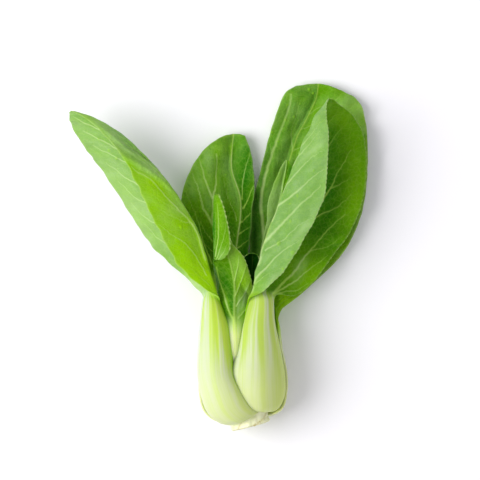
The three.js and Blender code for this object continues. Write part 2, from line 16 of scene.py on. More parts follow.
import bmesh
import bpy
import numpy as np
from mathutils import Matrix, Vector


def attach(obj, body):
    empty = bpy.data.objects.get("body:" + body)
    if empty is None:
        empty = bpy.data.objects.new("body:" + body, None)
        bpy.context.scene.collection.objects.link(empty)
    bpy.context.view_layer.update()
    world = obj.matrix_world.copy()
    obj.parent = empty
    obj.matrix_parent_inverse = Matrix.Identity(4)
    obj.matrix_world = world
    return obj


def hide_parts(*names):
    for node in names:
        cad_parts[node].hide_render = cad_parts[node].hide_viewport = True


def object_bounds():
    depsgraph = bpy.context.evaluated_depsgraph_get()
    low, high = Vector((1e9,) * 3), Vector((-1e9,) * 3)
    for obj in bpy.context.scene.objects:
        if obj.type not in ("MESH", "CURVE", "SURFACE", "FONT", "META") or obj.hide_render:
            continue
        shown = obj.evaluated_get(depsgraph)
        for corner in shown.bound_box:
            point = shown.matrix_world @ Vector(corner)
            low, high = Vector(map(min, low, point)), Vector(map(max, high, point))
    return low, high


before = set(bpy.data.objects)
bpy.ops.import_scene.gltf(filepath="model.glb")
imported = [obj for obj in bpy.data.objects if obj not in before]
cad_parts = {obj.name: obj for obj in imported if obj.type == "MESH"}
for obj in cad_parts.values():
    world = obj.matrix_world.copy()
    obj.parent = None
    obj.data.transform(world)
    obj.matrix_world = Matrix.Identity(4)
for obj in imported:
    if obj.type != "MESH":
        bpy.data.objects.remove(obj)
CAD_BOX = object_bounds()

LOG = logging.getLogger("bok_choy")

Array = np.ndarray
Pair = tuple[float, float]
Point = tuple[float, float, float]
Colour = tuple[int, int, int]
Linear = tuple[float, float, float, float]

MM = 0.001
TURN = 2.0 * math.pi
RIPPLE_WAVES, RIPPLE_HEIGHT = 7, 3.2  # waves in an irregular pattern, and their usual sum
ORIGIN = np.array([-4.0, 22.0, 0.0])  # the frame's origin in head coordinates
BOX_MARGIN = 0.02  # how far inside the frame's box every piece stays

BLADE_DEPTH = 0.8  # thickness of a blade
MARGIN_DEPTH = 0.66  # and at its margin
SHOULDER_DEPTH, FLANK_DEPTH = 0.26, 0.84  # thickness beside the rib, as shares of the rib's
SHOULDER_REACH = 0.4  # the furthest that a shoulder lies from the rib, as a share of the half
MARGIN_ROUND = 0.9  # distance from the margin over which it is rounded off
MARGIN_LEAST = 0.3  # share of the depth that is left at the very edge
END_SHARE = 0.5  # and at the leaf's two ends
THINNED = 0.3  # share of the depth that a blade is without, away from its rib
WING = 0.8  # thin green wing along each side of a stalk
WEB_WIDTH = (3, 12)  # width of the web beside the rib where a blade starts and is full
RIB_SHARE = 1.4  # width given to the rib when columns are spread
RIB_STRETCH = (0.3, 0.95)  # where the rib starts and stops narrowing, as shares of the length
UPPER_BIAS = 0.15  # how strongly a line seen from above keeps to the upper of two layers
EDGE_WAVE = 17.0  # length of one wave of a leaf's edge
FAR_PHASE = 1.9  # how far the far edge's waves run ahead of the near edge's, in radians
DROP_HEIGHT = 0.6  # height of a drop of water, as a share of its radius

LINE_STEPS = 7  # points laid between two given points of a line
FAN_SHIFT = 0.006  # how far a fan's vein may be out of step, as a share of the leaf's length
FAN_REACH, FAN_POINTS = 0.97, 24  # how near the margin its veins end, and the points in each
VEIN_FADE = 0.45  # how much of a vein's paleness is lost by its end
FAR_AWAY = 30.0  # a distance at which a vein no longer matters
QUILT_GAP = 2.2  # distance from a vein at which the quilting stands full
QUILT_FROM_RIB = 4.0  # and from the rib
LUMP = 11.0  # size of the lumps of an uneven blade
CRUMPLE = 3.2  # size of its small crumples
CRUMPLE_SHARE = 0.16  # and their height, as a share of the lumps'
TOOTHED = 0.2  # length of teeth from which the pale rim is beaded
TOOTH_STEP = 2.3
TOOTH_REACH = 0.5  # how far into the blade a tooth pulls
SWING_STEP = 6.5  # length of one swing of the margin
FAR_SHIFT = 400.0  # keeps the far margin's swings unlike the near margin's
RIM_WIDTH = 0.55
COOL_SPOT = 13.0  # size of the cooler areas, painted sheen of reflected light
COOL_SWING = 0.1  # how much cooler they are
COOL_LEVEL = 0.75  # closeness to a vein at which the skin is neither cooler nor warmer
COOL_GAP = 2.6  # distance from a vein at which the skin is at its coolest

STALK_DEPTH = (1.6, 4.0)  # depth at which a stalk starts to be fluted, and is so fully
STALK_RIDGE = 0.14  # height of its flutes
STALK_FIBRE = 0.06  # height of its fibres
STALK_FLUTES = ((2.3, 0.55), (3.7, 0.45))  # waves on each half, and their share of the height
STALK_FIBRES = (7.0, 11.0, 17.0, 26.0)  # rates of the fine fibres across a stalk
FIBRE_DRIFT = 0.012  # how far a fibre drifts aside as it runs along
FLUTED_FROM = (18.0, 46.0)  # where the flutes grow to their full height, by y
STALK_TOP = (24.0, 58.0)  # where the colour of a stalk's foot gives way to its neck's, by y
STREAK_FOOT = 0.6  # paleness of a stalk's foot
STREAK_FALL = 0.3  # how much greener its neck is
STREAK_FIBRE = 0.24  # how much paler it is on a fibre
STREAK_FLUTE = 0.08  # and on a flute
BASE_REACH = 0.3  # share of the leaf's length that its foot's colour fades over
BUMP_STRENGTH = 0.6


# ------------------------------------------------------------------ small curves
def smooth(low: float, high: float, value: Array) -> Array:
    """Smoothstep of value from 0 at low to 1 at high."""
    share = np.clip((np.asarray(value, float) - low) / (high - low), 0.0, 1.0)
    return share * share * (3.0 - 2.0 * share)


def spline(points: Array, places: Array) -> Array:
    """Centripetal Catmull-Rom curves.

    Args:
        points: knots, shaped (curves, knots, 3).
        places: knot numbers to read, shaped (curves, places).

    Returns:
        Points on the curves, shaped (curves, places, 3).
    """
    first = 2.0 * points[:, :1] - points[:, 1:2]
    last = 2.0 * points[:, -1:] - points[:, -2:-1]
    padded = np.concatenate([first, points, last], axis=1)
    steps = np.linalg.norm(np.diff(padded, axis=1), axis=2, keepdims=True)
    gaps = np.maximum(np.sqrt(steps), 0.01)
    before, after = gaps[:, :-1], gaps[:, 1:]
    chords = np.diff(padded, axis=1)
    slopes = chords[:, :-1] / before + chords[:, 1:] / after
    slopes -= (padded[:, 2:] - padded[:, :-2]) / (before + after)
    index = np.clip(np.floor(places).astype(int), 0, points.shape[1] - 2)
    curve = np.arange(points.shape[0])[:, None]
    share = (places - index)[..., None]
    gap = gaps[curve, index + 1]
    square, cube = share**2, share**3
    return (
        points[curve, index] * (2 * cube - 3 * square + 1)
        + slopes[curve, index] * (cube - 2 * square + share) * gap
        + points[curve, index + 1] * (3 * square - 2 * cube)
        + slopes[curve, index + 1] * (cube - square) * gap
    )


def bell(gap: Array, width: Array | float) -> Array:
    """A bell curve: 1 where gap is 0, and near 0 from twice the width."""
    return np.exp(-((gap / width) ** 2))


def unit(vectors: Array) -> Array:
    """Vectors scaled to length one along the last axis."""
    return vectors / np.maximum(np.linalg.norm(vectors, axis=-1, keepdims=True), 1e-9)


def ripple(u: Array, v: Array, size: float, seed: int) -> Array:
    """A smooth irregular pattern between about -1 and 1.

    Args:
        u: first coordinate, in millimetres.
        v: second coordinate, in millimetres.
        size: typical distance between two bumps.
        seed: chooses the pattern.

    Returns:
        The height of the pattern at each place.
    """
    draw = np.random.default_rng(seed)
    total = np.zeros(np.broadcast(u, v).shape)
    for _ in range(RIPPLE_WAVES):
        turn, phase = draw.uniform(0, TURN, 2)
        rate = TURN / (size * draw.uniform(0.75, 1.6))
        total += np.sin(rate * (u * math.cos(turn) + v * math.sin(turn)) + phase)
    return total / RIPPLE_HEIGHT


# ------------------------------------------------------------------ meshes
def finished_mesh(body: bmesh.types.BMesh, name: str) -> bpy.types.Mesh:
    """A body's faces as a mesh of its own."""
    mesh = bpy.data.meshes.new(name)
    body.to_mesh(mesh)
    body.free()
    return mesh


def vertices(mesh: bpy.types.Mesh) -> Array:
    """A mesh's vertices, shaped (vertices, 3)."""
    flat = np.zeros(len(mesh.vertices) * 3, np.float32)
    mesh.vertices.foreach_get("co", flat)
    return flat.reshape(-1, 3)


def placed(name: str, data: bpy.types.ID) -> bpy.types.Object:
    """An object in the scene, at the origin."""
    made = bpy.data.objects.new(name, data)
    bpy.context.scene.collection.objects.link(made)
    return made


def closed_grid(name: str, rows: int, columns: int) -> tuple[bpy.types.Mesh, Array]:
    """A closed slab of two grids joined at their edges, ready to be moved onto two surfaces.

    Args:
        name: the mesh's name.
        rows: points along the grid.
        columns: points across it.

    Returns:
        The mesh, and for each vertex its face (0 or 1), row and column.
    """
    body = bmesh.new()
    bmesh.ops.create_grid(body, x_segments=columns - 1, y_segments=rows - 1, size=0.5)
    copied = bmesh.ops.extrude_face_region(body, geom=body.faces[:], use_keep_orig=True)
    lifted = [part for part in copied["geom"] if isinstance(part, bmesh.types.BMVert)]
    bmesh.ops.translate(body, verts=lifted, vec=(0.0, 0.0, 1.0))
    bmesh.ops.recalc_face_normals(body, faces=body.faces)
    mesh = finished_mesh(body, name)
    flat = vertices(mesh)
    where = np.stack([
        flat[:, 2].round(),
        ((flat[:, 1] + 0.5) * (rows - 1)).round(),
        ((flat[:, 0] + 0.5) * (columns - 1)).round(),
    ], axis=1).astype(int)
    return mesh, where


def place_in_frame(mesh: bpy.types.Mesh, points: Array) -> None:
    """Move a mesh's vertices to head coordinates, kept just inside the frame's box."""
    low, high = (np.array(corner) / MM for corner in CAD_BOX)
    inside = np.clip(points - ORIGIN, low + BOX_MARGIN, high - BOX_MARGIN)
    mesh.vertices.foreach_set("co", (inside * MM).astype(np.float32).ravel())
    mesh.update()


def write_value(mesh: bpy.types.Mesh, name: str, values: Array) -> None:
    """Store one number for each vertex under a name."""
    layer = mesh.attributes.new(name, "FLOAT", "POINT")
    layer.data.foreach_set("value", values.astype(np.float32).ravel())


def finish_piece(mesh: bpy.types.Mesh, node: str, finish: bpy.types.Material) -> bpy.types.Object:
    """Make a mesh a visible piece that stands for a node of the frame.

    Args:
        mesh: the piece's mesh, in place.
        node: the frame's node that it replaces.
        finish: its material.

    Returns:
        The piece.
    """
    mesh.polygons.foreach_set("use_smooth", [True] * len(mesh.polygons))
    mesh.materials.append(finish)
    piece = placed(f"{node}_fine", mesh)
    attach(piece, "root")
    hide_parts(node)
    LOG.info("%s: %d faces", piece.name, len(mesh.polygons))
    return piece


# ------------------------------------------------------------------ finishes
Socket = bpy.types.NodeSocket


def linear(colour: Colour) -> Linear:
    """A screen colour, 0 to 255 a channel, as the linear colour that shaders take."""
    parts = [c / 255.0 for c in colour]
    return (*(p / 12.92 if p <= 0.04045 else ((p + 0.055) / 1.055) ** 2.4 for p in parts), 1.0)


class Graph:
    """A material's nodes, with short names for the few kinds that the finishes use."""

    def __init__(self, name: str) -> None:
        """Start an empty material."""
        self.material = bpy.data.materials.new(name)
        self.material.use_nodes = True
        self.nodes = self.material.node_tree.nodes
        self.links = self.material.node_tree.links
        self.nodes.clear()

    def node(self, kind: str, **settings: object) -> bpy.types.Node:
        """Add a node and set its properties."""
        made = self.nodes.new(kind)
        for key, value in settings.items():
            setattr(made, key, value)
        return made

    def feed(self, node: bpy.types.Node, inputs: dict[str | int, object]) -> Socket:
        """Connect outputs to a node's sockets, or set plain values on them.

        Args:
            node: the node.
            inputs: what each socket takes, by the socket's name or number.

        Returns:
            The node's first output.
        """
        for key, value in inputs.items():
            if isinstance(value, Socket):
                self.links.new(value, node.inputs[key])
            else:
                node.inputs[key].default_value = value
        return node.outputs[0]

    def value(self, name: str) -> Socket:
        """A number stored on the mesh."""
        return self.node("ShaderNodeAttribute", attribute_name=name).outputs["Fac"]

    def math(self, operation: str, a: object, b: object, clamp: bool = False) -> Socket:
        """One sum on numbers."""
        made = self.node("ShaderNodeMath", operation=operation, use_clamp=clamp)
        return self.feed(made, {0: a, 1: b})

    def plus(self, a: object, b: object) -> Socket:
        """Two numbers added."""
        return self.math("ADD", a, b)

    def times(self, a: object, b: object) -> Socket:
        """Two numbers multiplied."""
        return self.math("MULTIPLY", a, b)

    def rest(self, share: Socket) -> Socket:
        """What a share leaves of one."""
        return self.math("SUBTRACT", 1.0, share)

    def vary(self, value: object, noise: Socket, amount: float, clamp: bool = False) -> Socket:
        """A number made uneven by a noise from 0 to 1."""
        swing = self.times(self.math("SUBTRACT", noise, 0.5), amount)
        return self.math("ADD", value, swing, clamp)

    def mix(self, share: object, a: object, b: object) -> Socket:
        """Blend two colours."""
        made = self.node("ShaderNodeMix", data_type="RGBA", clamp_factor=True)
        self.feed(made, {0: share, 6: a, 7: b})
        return made.outputs[2]

    def plane(self, u: float, v: float) -> Socket:
        """The leaf's own flat coordinates in millimetres, stretched by u across and v along."""
        source = self.node("ShaderNodeUVMap", uv_map="leaf_plane").outputs[0]
        return self.feed(self.node("ShaderNodeMapping"), {"Scale": (u, v, 1.0), "Vector": source})

    def noise(self, place: Socket, scale: float, detail: float = 2.0) -> Socket:
        """Soft noise from 0 to 1."""
        made = self.node("ShaderNodeTexNoise")
        self.feed(made, {"Scale": scale, "Detail": detail, "Vector": place})
        return made.outputs["Fac"]

    def cells(self, place: Socket, scale: float, low: float, high: float) -> Socket:
        """A net of lines, 1 on a line and 0 inside its cells."""
        made = self.node("ShaderNodeTexVoronoi", feature="DISTANCE_TO_EDGE")
        self.feed(made, {"Scale": scale, "Vector": place})
        return self.between(made.outputs["Distance"], high, low)

    def between(self, value: object, low: float, high: float) -> Socket:
        """A smooth step of value from 0 at low to 1 at high, or falling where low is above high."""
        made = self.node("ShaderNodeMapRange", interpolation_type="SMOOTHSTEP")
        ends = (0.0, 1.0) if low < high else (1.0, 0.0)
        return self.feed(made, {
            "Value": value, "From Min": min(low, high), "From Max": max(low, high),
            "To Min": ends[0], "To Max": ends[1],
        })

    def bump(self, height: Socket, depth: float) -> Socket:
        """The direction of a skin with fine relief, depth millimetres from low to high."""
        made = self.node("ShaderNodeBump")
        return self.feed(made, {"Strength": BUMP_STRENGTH, "Distance": depth * MM, "Height": height})

    def surface(self, inputs: dict[str | int, object]) -> Socket:
        """A principled surface with these inputs."""
        return self.feed(self.node("ShaderNodeBsdfPrincipled"), inputs)

    def finished(self, shader: Socket) -> bpy.types.Material:
        """The material, with this shader as its surface."""
        out = self.node("ShaderNodeOutputMaterial")
        self.links.new(shader, out.inputs["Surface"])
        return self.material


@dataclass(frozen=True)
class LeafFinish:
    """The colours and gloss of a leaf, blade and stalk, with the colours of its painted shade and painted
    sheen.
    """

    warm_dark: Colour = (30, 114, 0)
    warm_light: Colour = (160, 220, 6)
    # the cool colours: the bluish side of the skin, partly its own bloom and partly painted sheen of
    # reflected light
    cool_dark: Colour = (56, 130, 34)
    cool_light: Colour = (196, 229, 150)
    # colour of the painted shade in hollows, gaps and under folds
    painted_shade: Colour = (0, 50, 0)
    vein: Colour = (182, 222, 92)
    cool_vein: Colour = (218, 240, 172)
    rim: Colour = (216, 234, 158)
    # colour of the painted sheen, the bluish white of reflected light
    painted_sheen: Colour = (206, 236, 190)
    stalk_pale: Colour = (208, 215, 190)
    stalk_green: Colour = (182, 207, 90)
    stalk_low: Colour = (208, 219, 130)
    through: Colour = (132, 214, 2)
    roughness: float = 0.42
    refraction: float = 1.42
    shine: float = 0.2
    shine_tint: Linear = (0.3, 0.7, 0.08, 1.0)
    glow: float = 0.17  # share of light that passes through the blade
    scatter: float = 0.15  # share of light scattered inside the blade
    stalk_scatter: float = 0.6  # and how much more inside the stalk
    scatter_reach: float = 3.2  # how far it goes, in millimetres
    scatter_tint: tuple[float, float, float] = (1.0, 1.0, 0.4)
    relief: float = 0.12  # height of the skin's fine relief, in millimetres
    mottle: float = 0.22  # rates of the skin's patterns, in a millimetre: its soft mottling,
    fleck: float = 1.3  # its small flecks,
    net: float = 0.36  # the net of its smallest veins
    fine_net: float = 1.05  # and the finer net within that

    def _green(self, g: Graph, mottle: Socket, fleck: Socket, wrinkle_and_shade: Socket, nets: list[Socket]) -> Socket:
        """The blade's colour: soft mottling, small flecks, a coarse and fine net and pale veins and rim,
        with painted sheen, painted shade in wrinkles and hollows, and painted light under drops.
        """
        net, fine_net = nets
        tone = g.vary(g.vary(g.value("tone"), mottle, 0.17), fleck, 0.14, clamp=True)
        cool = g.vary(g.value("cool"), fleck, 0.16, clamp=True)
        warm = g.mix(tone, linear(self.warm_dark), linear(self.warm_light))
        green = g.mix(cool, warm, g.mix(tone, linear(self.cool_dark), linear(self.cool_light)))
        # painted sheen: blotches of bluish white reflected light where the skin is cool
        blotch = g.between(g.plus(mottle, g.times(fleck, 0.35)), 0.62, 0.86)
        blotch = g.times(blotch, g.times(g.value("cool"), 0.07))
        green = g.mix(blotch, green, linear(self.painted_sheen))
        # painted shade in the small wrinkles
        green = g.mix(g.times(wrinkle_and_shade, 0.5), green, linear(self.warm_dark))
        for lines, share in ((fine_net, 0.07), (net, 0.1)):
            green = g.mix(g.times(lines, share), green, linear(self.vein))
        # painted shade in the throat, in gaps and under folds
        green = g.mix(g.value("painted_shade"), green, linear(self.painted_shade))
        pale = g.mix(g.plus(g.value("cool"), 0.3), linear(self.vein), linear(self.cool_vein))
        green = g.mix(g.times(g.between(g.value("vein"), 0.06, 0.8), 0.75), green, pale)
        green = g.mix(g.value("rim"), green, linear(self.rim))
        # painted light: the green is lightened under drops of water
        return g.mix(g.times(g.value("wet"), 0.3), green, linear(self.warm_light))

    def _flesh(self, g: Graph, fibres: Socket) -> Socket:
        """The stalk's colour, from its fine fibres and broad streaks."""
        broad = g.noise(g.plane(0.42, 0.012), 1.0, 1.0)
        streak = g.vary(g.vary(g.value("streak"), fibres, 0.5), broad, 0.7)
        flesh = g.mix(g.between(streak, 0.2, 1.0), linear(self.stalk_green), linear(self.stalk_pale))
        return g.mix(g.times(g.value("base"), 0.6), flesh, linear(self.stalk_low))

    def material(self, name: str) -> bpy.types.Material:
        """Build the material.

        Args:
            name: the material's name.

        Returns:
            The material.
        """
        g = Graph(name)
        stalk, wet = g.value("stalk"), g.value("wet")
        flat = g.plane(1.0, 1.0)
        mottle, fleck = g.noise(flat, self.mottle, 3.0), g.noise(flat, self.fleck, 3.0)
        net, fine_net = g.cells(flat, self.net, 0.015, 0.11), g.cells(flat, self.fine_net, 0.02, 0.14)
        fibres = g.noise(g.plane(1.7, 0.035), 1.0, 3.0)
        wrinkle_and_shade = g.between(g.noise(g.plane(0.5, 0.3), 1.0, 2.0), 0.57, 0.68)
        wrinkle_and_shade = g.times(wrinkle_and_shade, g.value("pucker"))
        green = self._green(g, mottle, fleck, wrinkle_and_shade, [net, fine_net])
        colour = g.mix(stalk, green, self._flesh(g, fibres))

        skin = g.plus(g.times(fine_net, -0.4), g.times(fleck, 0.5))
        skin = g.plus(skin, g.times(net, -0.9))
        skin = g.times(g.math("SUBTRACT", skin, g.times(wrinkle_and_shade, 2.0)), g.rest(stalk))
        skin = g.plus(skin, g.times(g.times(fibres, stalk), 0.9))
        facing = g.bump(g.times(skin, g.rest(wet)), self.relief)
        gloss = g.times(g.vary(self.roughness, fleck, 0.16), g.rest(g.times(wet, 0.85)))

        surface = g.surface({
            "Base Color": colour,
            "Roughness": gloss,
            "Normal": facing,
            "IOR": self.refraction,
            "Specular IOR Level": self.shine,
            "Specular Tint": self.shine_tint,
            "Subsurface Weight": g.plus(self.scatter, g.times(stalk, self.stalk_scatter)),
            "Subsurface Radius": self.scatter_tint,
            "Subsurface Scale": self.scatter_reach * MM,
        })
        lit = g.mix(0.5, colour, linear(self.through))
        through = g.feed(g.node("ShaderNodeBsdfTranslucent"), {"Color": lit, "Normal": facing})
        share = g.times(g.rest(stalk), self.glow)
        return g.finished(g.feed(g.node("ShaderNodeMixShader"), {0: share, 1: surface, 2: through}))


@dataclass(frozen=True)
class StumpFinish:
    """The cream flesh of the cut stump, browned a little along its edges."""

    flesh: Colour = (244, 246, 204)
    pith: Colour = (250, 250, 232)
    tan: Colour = (196, 178, 104)
    green: Colour = (214, 226, 150)
    roughness: float = 0.6
    scatter: float = 0.15
    scatter_reach: float = 1.5  # in millimetres
    scatter_tint: tuple[float, float, float] = (1.0, 0.9, 0.6)
    relief: float = 0.25  # height of the fine grain, in millimetres

    def material(self, name: str) -> bpy.types.Material:
        """Build the material from the stored pith and scar values."""
        g = Graph(name)
        place = g.node("ShaderNodeTexCoord").outputs["Object"]
        grain = g.noise(place, 900.0, 4.0)
        blotch = g.noise(place, 220.0)
        colour = g.mix(g.value("pith"), linear(self.flesh), linear(self.pith))
        colour = g.mix(g.times(g.between(blotch, 0.45, 0.7), 0.5), colour, linear(self.green))
        lines = g.times(g.value("scar"), g.between(grain, 0.25, 0.7))
        return g.finished(g.surface({
            "Base Color": g.mix(lines, colour, linear(self.tan)),
            "Roughness": self.roughness,
            "Subsurface Weight": self.scatter,
            "Subsurface Radius": self.scatter_tint,
            "Subsurface Scale": self.scatter_reach * MM,
            "Normal": g.bump(grain, self.relief),
        }))


# ------------------------------------------------------------------ stations along a leaf
@dataclass(frozen=True)
class Station:
    """One cross-section of a leaf: nine points from margin to margin, and the depth at each."""

    points: Array
    depths: Array


def flank_point(rib: Array, shoulder: Array, other: Array, bow: float) -> Array:
    """The point that bows the chord from the rib to a shoulder out to a round arc.

    Args:
        rib: the rib's point.
        shoulder: the shoulder on this side.
        other: the shoulder on the other side.
        bow: share of a true circle's bow.

    Returns:
        The point half-way along the arc.
    """
    chord, facing = shoulder - rib, other - rib
    cosine = np.dot(unit(chord), unit(facing))
    turn = math.pi - math.acos(float(np.clip(cosine, -1.0, 1.0)))
    along = unit(chord)
    outward = 2.0 * rib - shoulder - other
    outward = unit(outward - along * np.dot(outward, along))
    rise = 0.5 * math.tan(turn / 4.0) * np.linalg.norm(chord) * bow
    return (rib + shoulder) / 2.0 + outward * rise


def station(
    section: list[Point], depth: float, swell: Pair, bow: float
) -> Station:
    """A station from its margins, shoulders and rib.

    Args:
        section: near margin, near shoulder, rib, far shoulder and far margin.
        depth: thickness at the rib.
        swell: how far the middle of each half rises.
        bow: roundness of the rib's flanks.

    Returns:
        The station.
    """
    near, near_shoulder, rib, far_shoulder, far = (np.array(p, float) for p in section)
    lift = np.array([0.0, 0.0, 1.0])
    thin, full = (max(BLADE_DEPTH, share * depth) for share in (SHOULDER_DEPTH, FLANK_DEPTH))
    points = [
        near,
        (near_shoulder + near) / 2.0 + lift * swell[0],
        near_shoulder,
        flank_point(rib, near_shoulder, far_shoulder, bow),
        rib,
        flank_point(rib, far_shoulder, near_shoulder, bow),
        far_shoulder,
        (far_shoulder + far) / 2.0 + lift * swell[1],
        far,
    ]
    depths = [MARGIN_DEPTH, BLADE_DEPTH, thin, full, depth, full, thin, BLADE_DEPTH, MARGIN_DEPTH]
    return Station(np.array(points), np.array(depths))


def stalk(near: Point, rib: Point, far: Point, depth: float, bow: float = 0.9) -> Station:
    """A station on the stalk, whose two edges carry only a narrow wing."""
    middle = np.array(rib, float)
    edges = [np.array(edge, float) for edge in (near, far)]
    wings = [edge + unit(edge - middle) * WING for edge in edges]
    return station([wings[0], edges[0], middle, edges[1], wings[1]], depth, (0.0, 0.0), bow)


def neck(
    near: Point, near_shoulder: Point, rib: Point, far_shoulder: Point, far: Point,
    depth: float, swell: Pair = (0, 0), bow: float = 0.5,
) -> Station:
    """A station at the neck, where the blade starts, from all five of its points."""
    return station([near, near_shoulder, rib, far_shoulder, far], depth, swell, bow)


def blade(
    near: Point, rib: Point, far: Point, width: float, depth: float,
    swell: Pair, fold: float = 0.0,
) -> Station:
    """A station on the blade, with its shoulders close beside the rib.

    Args:
        near: the near margin.
        rib: the rib.
        far: the far margin.
        width: distance from the rib to a shoulder.
        depth: thickness at the rib.
        swell: how far the middle of each half rises.
        fold: how far the two shoulders are lifted apart where the leaf is folded.

    Returns:
        The station.
    """
    middle = np.array(rib, float)
    shoulders = []
    for margin, lift in ((near, fold), (far, -fold)):
        span = np.array(margin, float) - middle
        place = middle + unit(span) * min(width, SHOULDER_REACH * float(np.linalg.norm(span)))
        shoulders.append((place[0], place[1], middle[2] + lift))
    return station([near, shoulders[0], rib, shoulders[1], far], depth, swell, 0.5)


# ------------------------------------------------------------------ what is drawn on a leaf
class Half(Enum):
    """The two halves of a leaf, on each side of its rib."""

    NEAR = -1
    FAR = 1


NEAR, FAR = Half.NEAR, Half.FAR


@dataclass(frozen=True)
class Vein:
    """A vein that follows points seen from above, from the rib outwards."""

    half: Half
    path: list[Pair]
    strength: float
    width: Pair = (0.6, 0.3)  # half width at its two ends


@dataclass(frozen=True)
class VeinFan:
    """Even side veins from the rib to the margin, for the stretch of a leaf that has no others.

    start and end are where the first and last vein leave the rib, as shares of the leaf's length,
    and lead is how much further along each one reaches the margin.
    """

    half: Half
    count: int
    start: float
    end: float
    lead: float
    width: Pair
    strength: float


@dataclass(frozen=True)
class Ridge:
    """A crease that follows points seen from above: relief with no colour of its own."""

    half: Half
    path: list[Pair]
    width: float
    height: float


@dataclass(frozen=True)
class Patch:
    """A soft round area, seen from above, that is lighter, cooler and more shaded than the rest: partly the
    leaf's own patchy colour and partly painted light, painted sheen and painted shade.
    """

    half: Half
    place: Pair
    reach: Pair
    turn: float  # degrees from +x to the first reach
    tone: float
    cool: float = 0.0
    painted_shade: float = 0.0

    def strength(self, place: Array) -> Array:
        """How strongly the patch shows at each place, from 0 to 1."""
        angle = math.radians(self.turn)
        dx, dy = place[..., 0] - self.place[0], place[..., 1] - self.place[1]
        first = (dx * math.cos(angle) + dy * math.sin(angle)) / self.reach[0]
        second = (dy * math.cos(angle) - dx * math.sin(angle)) / self.reach[1]
        return np.exp(-(first**2 + second**2))


class Drop(NamedTuple):
    """A drop of water, seen from above."""

    half: Half
    x: float
    y: float
    radius: float


def on(half: Half, kind: type, rows: list[tuple]) -> list:
    """Things of one kind on one half of a leaf, each from the rest of its values."""
    return [kind(half, *row) for row in rows]


@dataclass(frozen=True)
class Face:
    """How one face of one half looks: tone from dark 0 to light 1, cool from warm 0 to cool 1, each partly
    the face's own colour and partly painted light, shade and sheen from how the face lies to the lamp.
    """

    tone: float
    cool: float
    vein: float  # how pale its veins are
    raised: float  # height of its veins, negative where they are grooves
    painted_shade: float = 0.0  # share of painted shade, the dark green of shadow in the throat, gaps and folds


@dataclass
class Sheet:
    """A leaf's middle surface, sampled in rows along it and columns across it."""

    place: Array  # (rows, columns, 3)
    depth: Array
    normal: Array
    across: Array
    share: Array  # 0 on the rib, 1 at either margin
    side: Array  # -1 on the near half, 1 on the far half
    leafy: Array  # 0 on the stalk, 1 on the blade
    length: Array  # millimetres along the rib
    reach: Array  # millimetres from the rib, signed


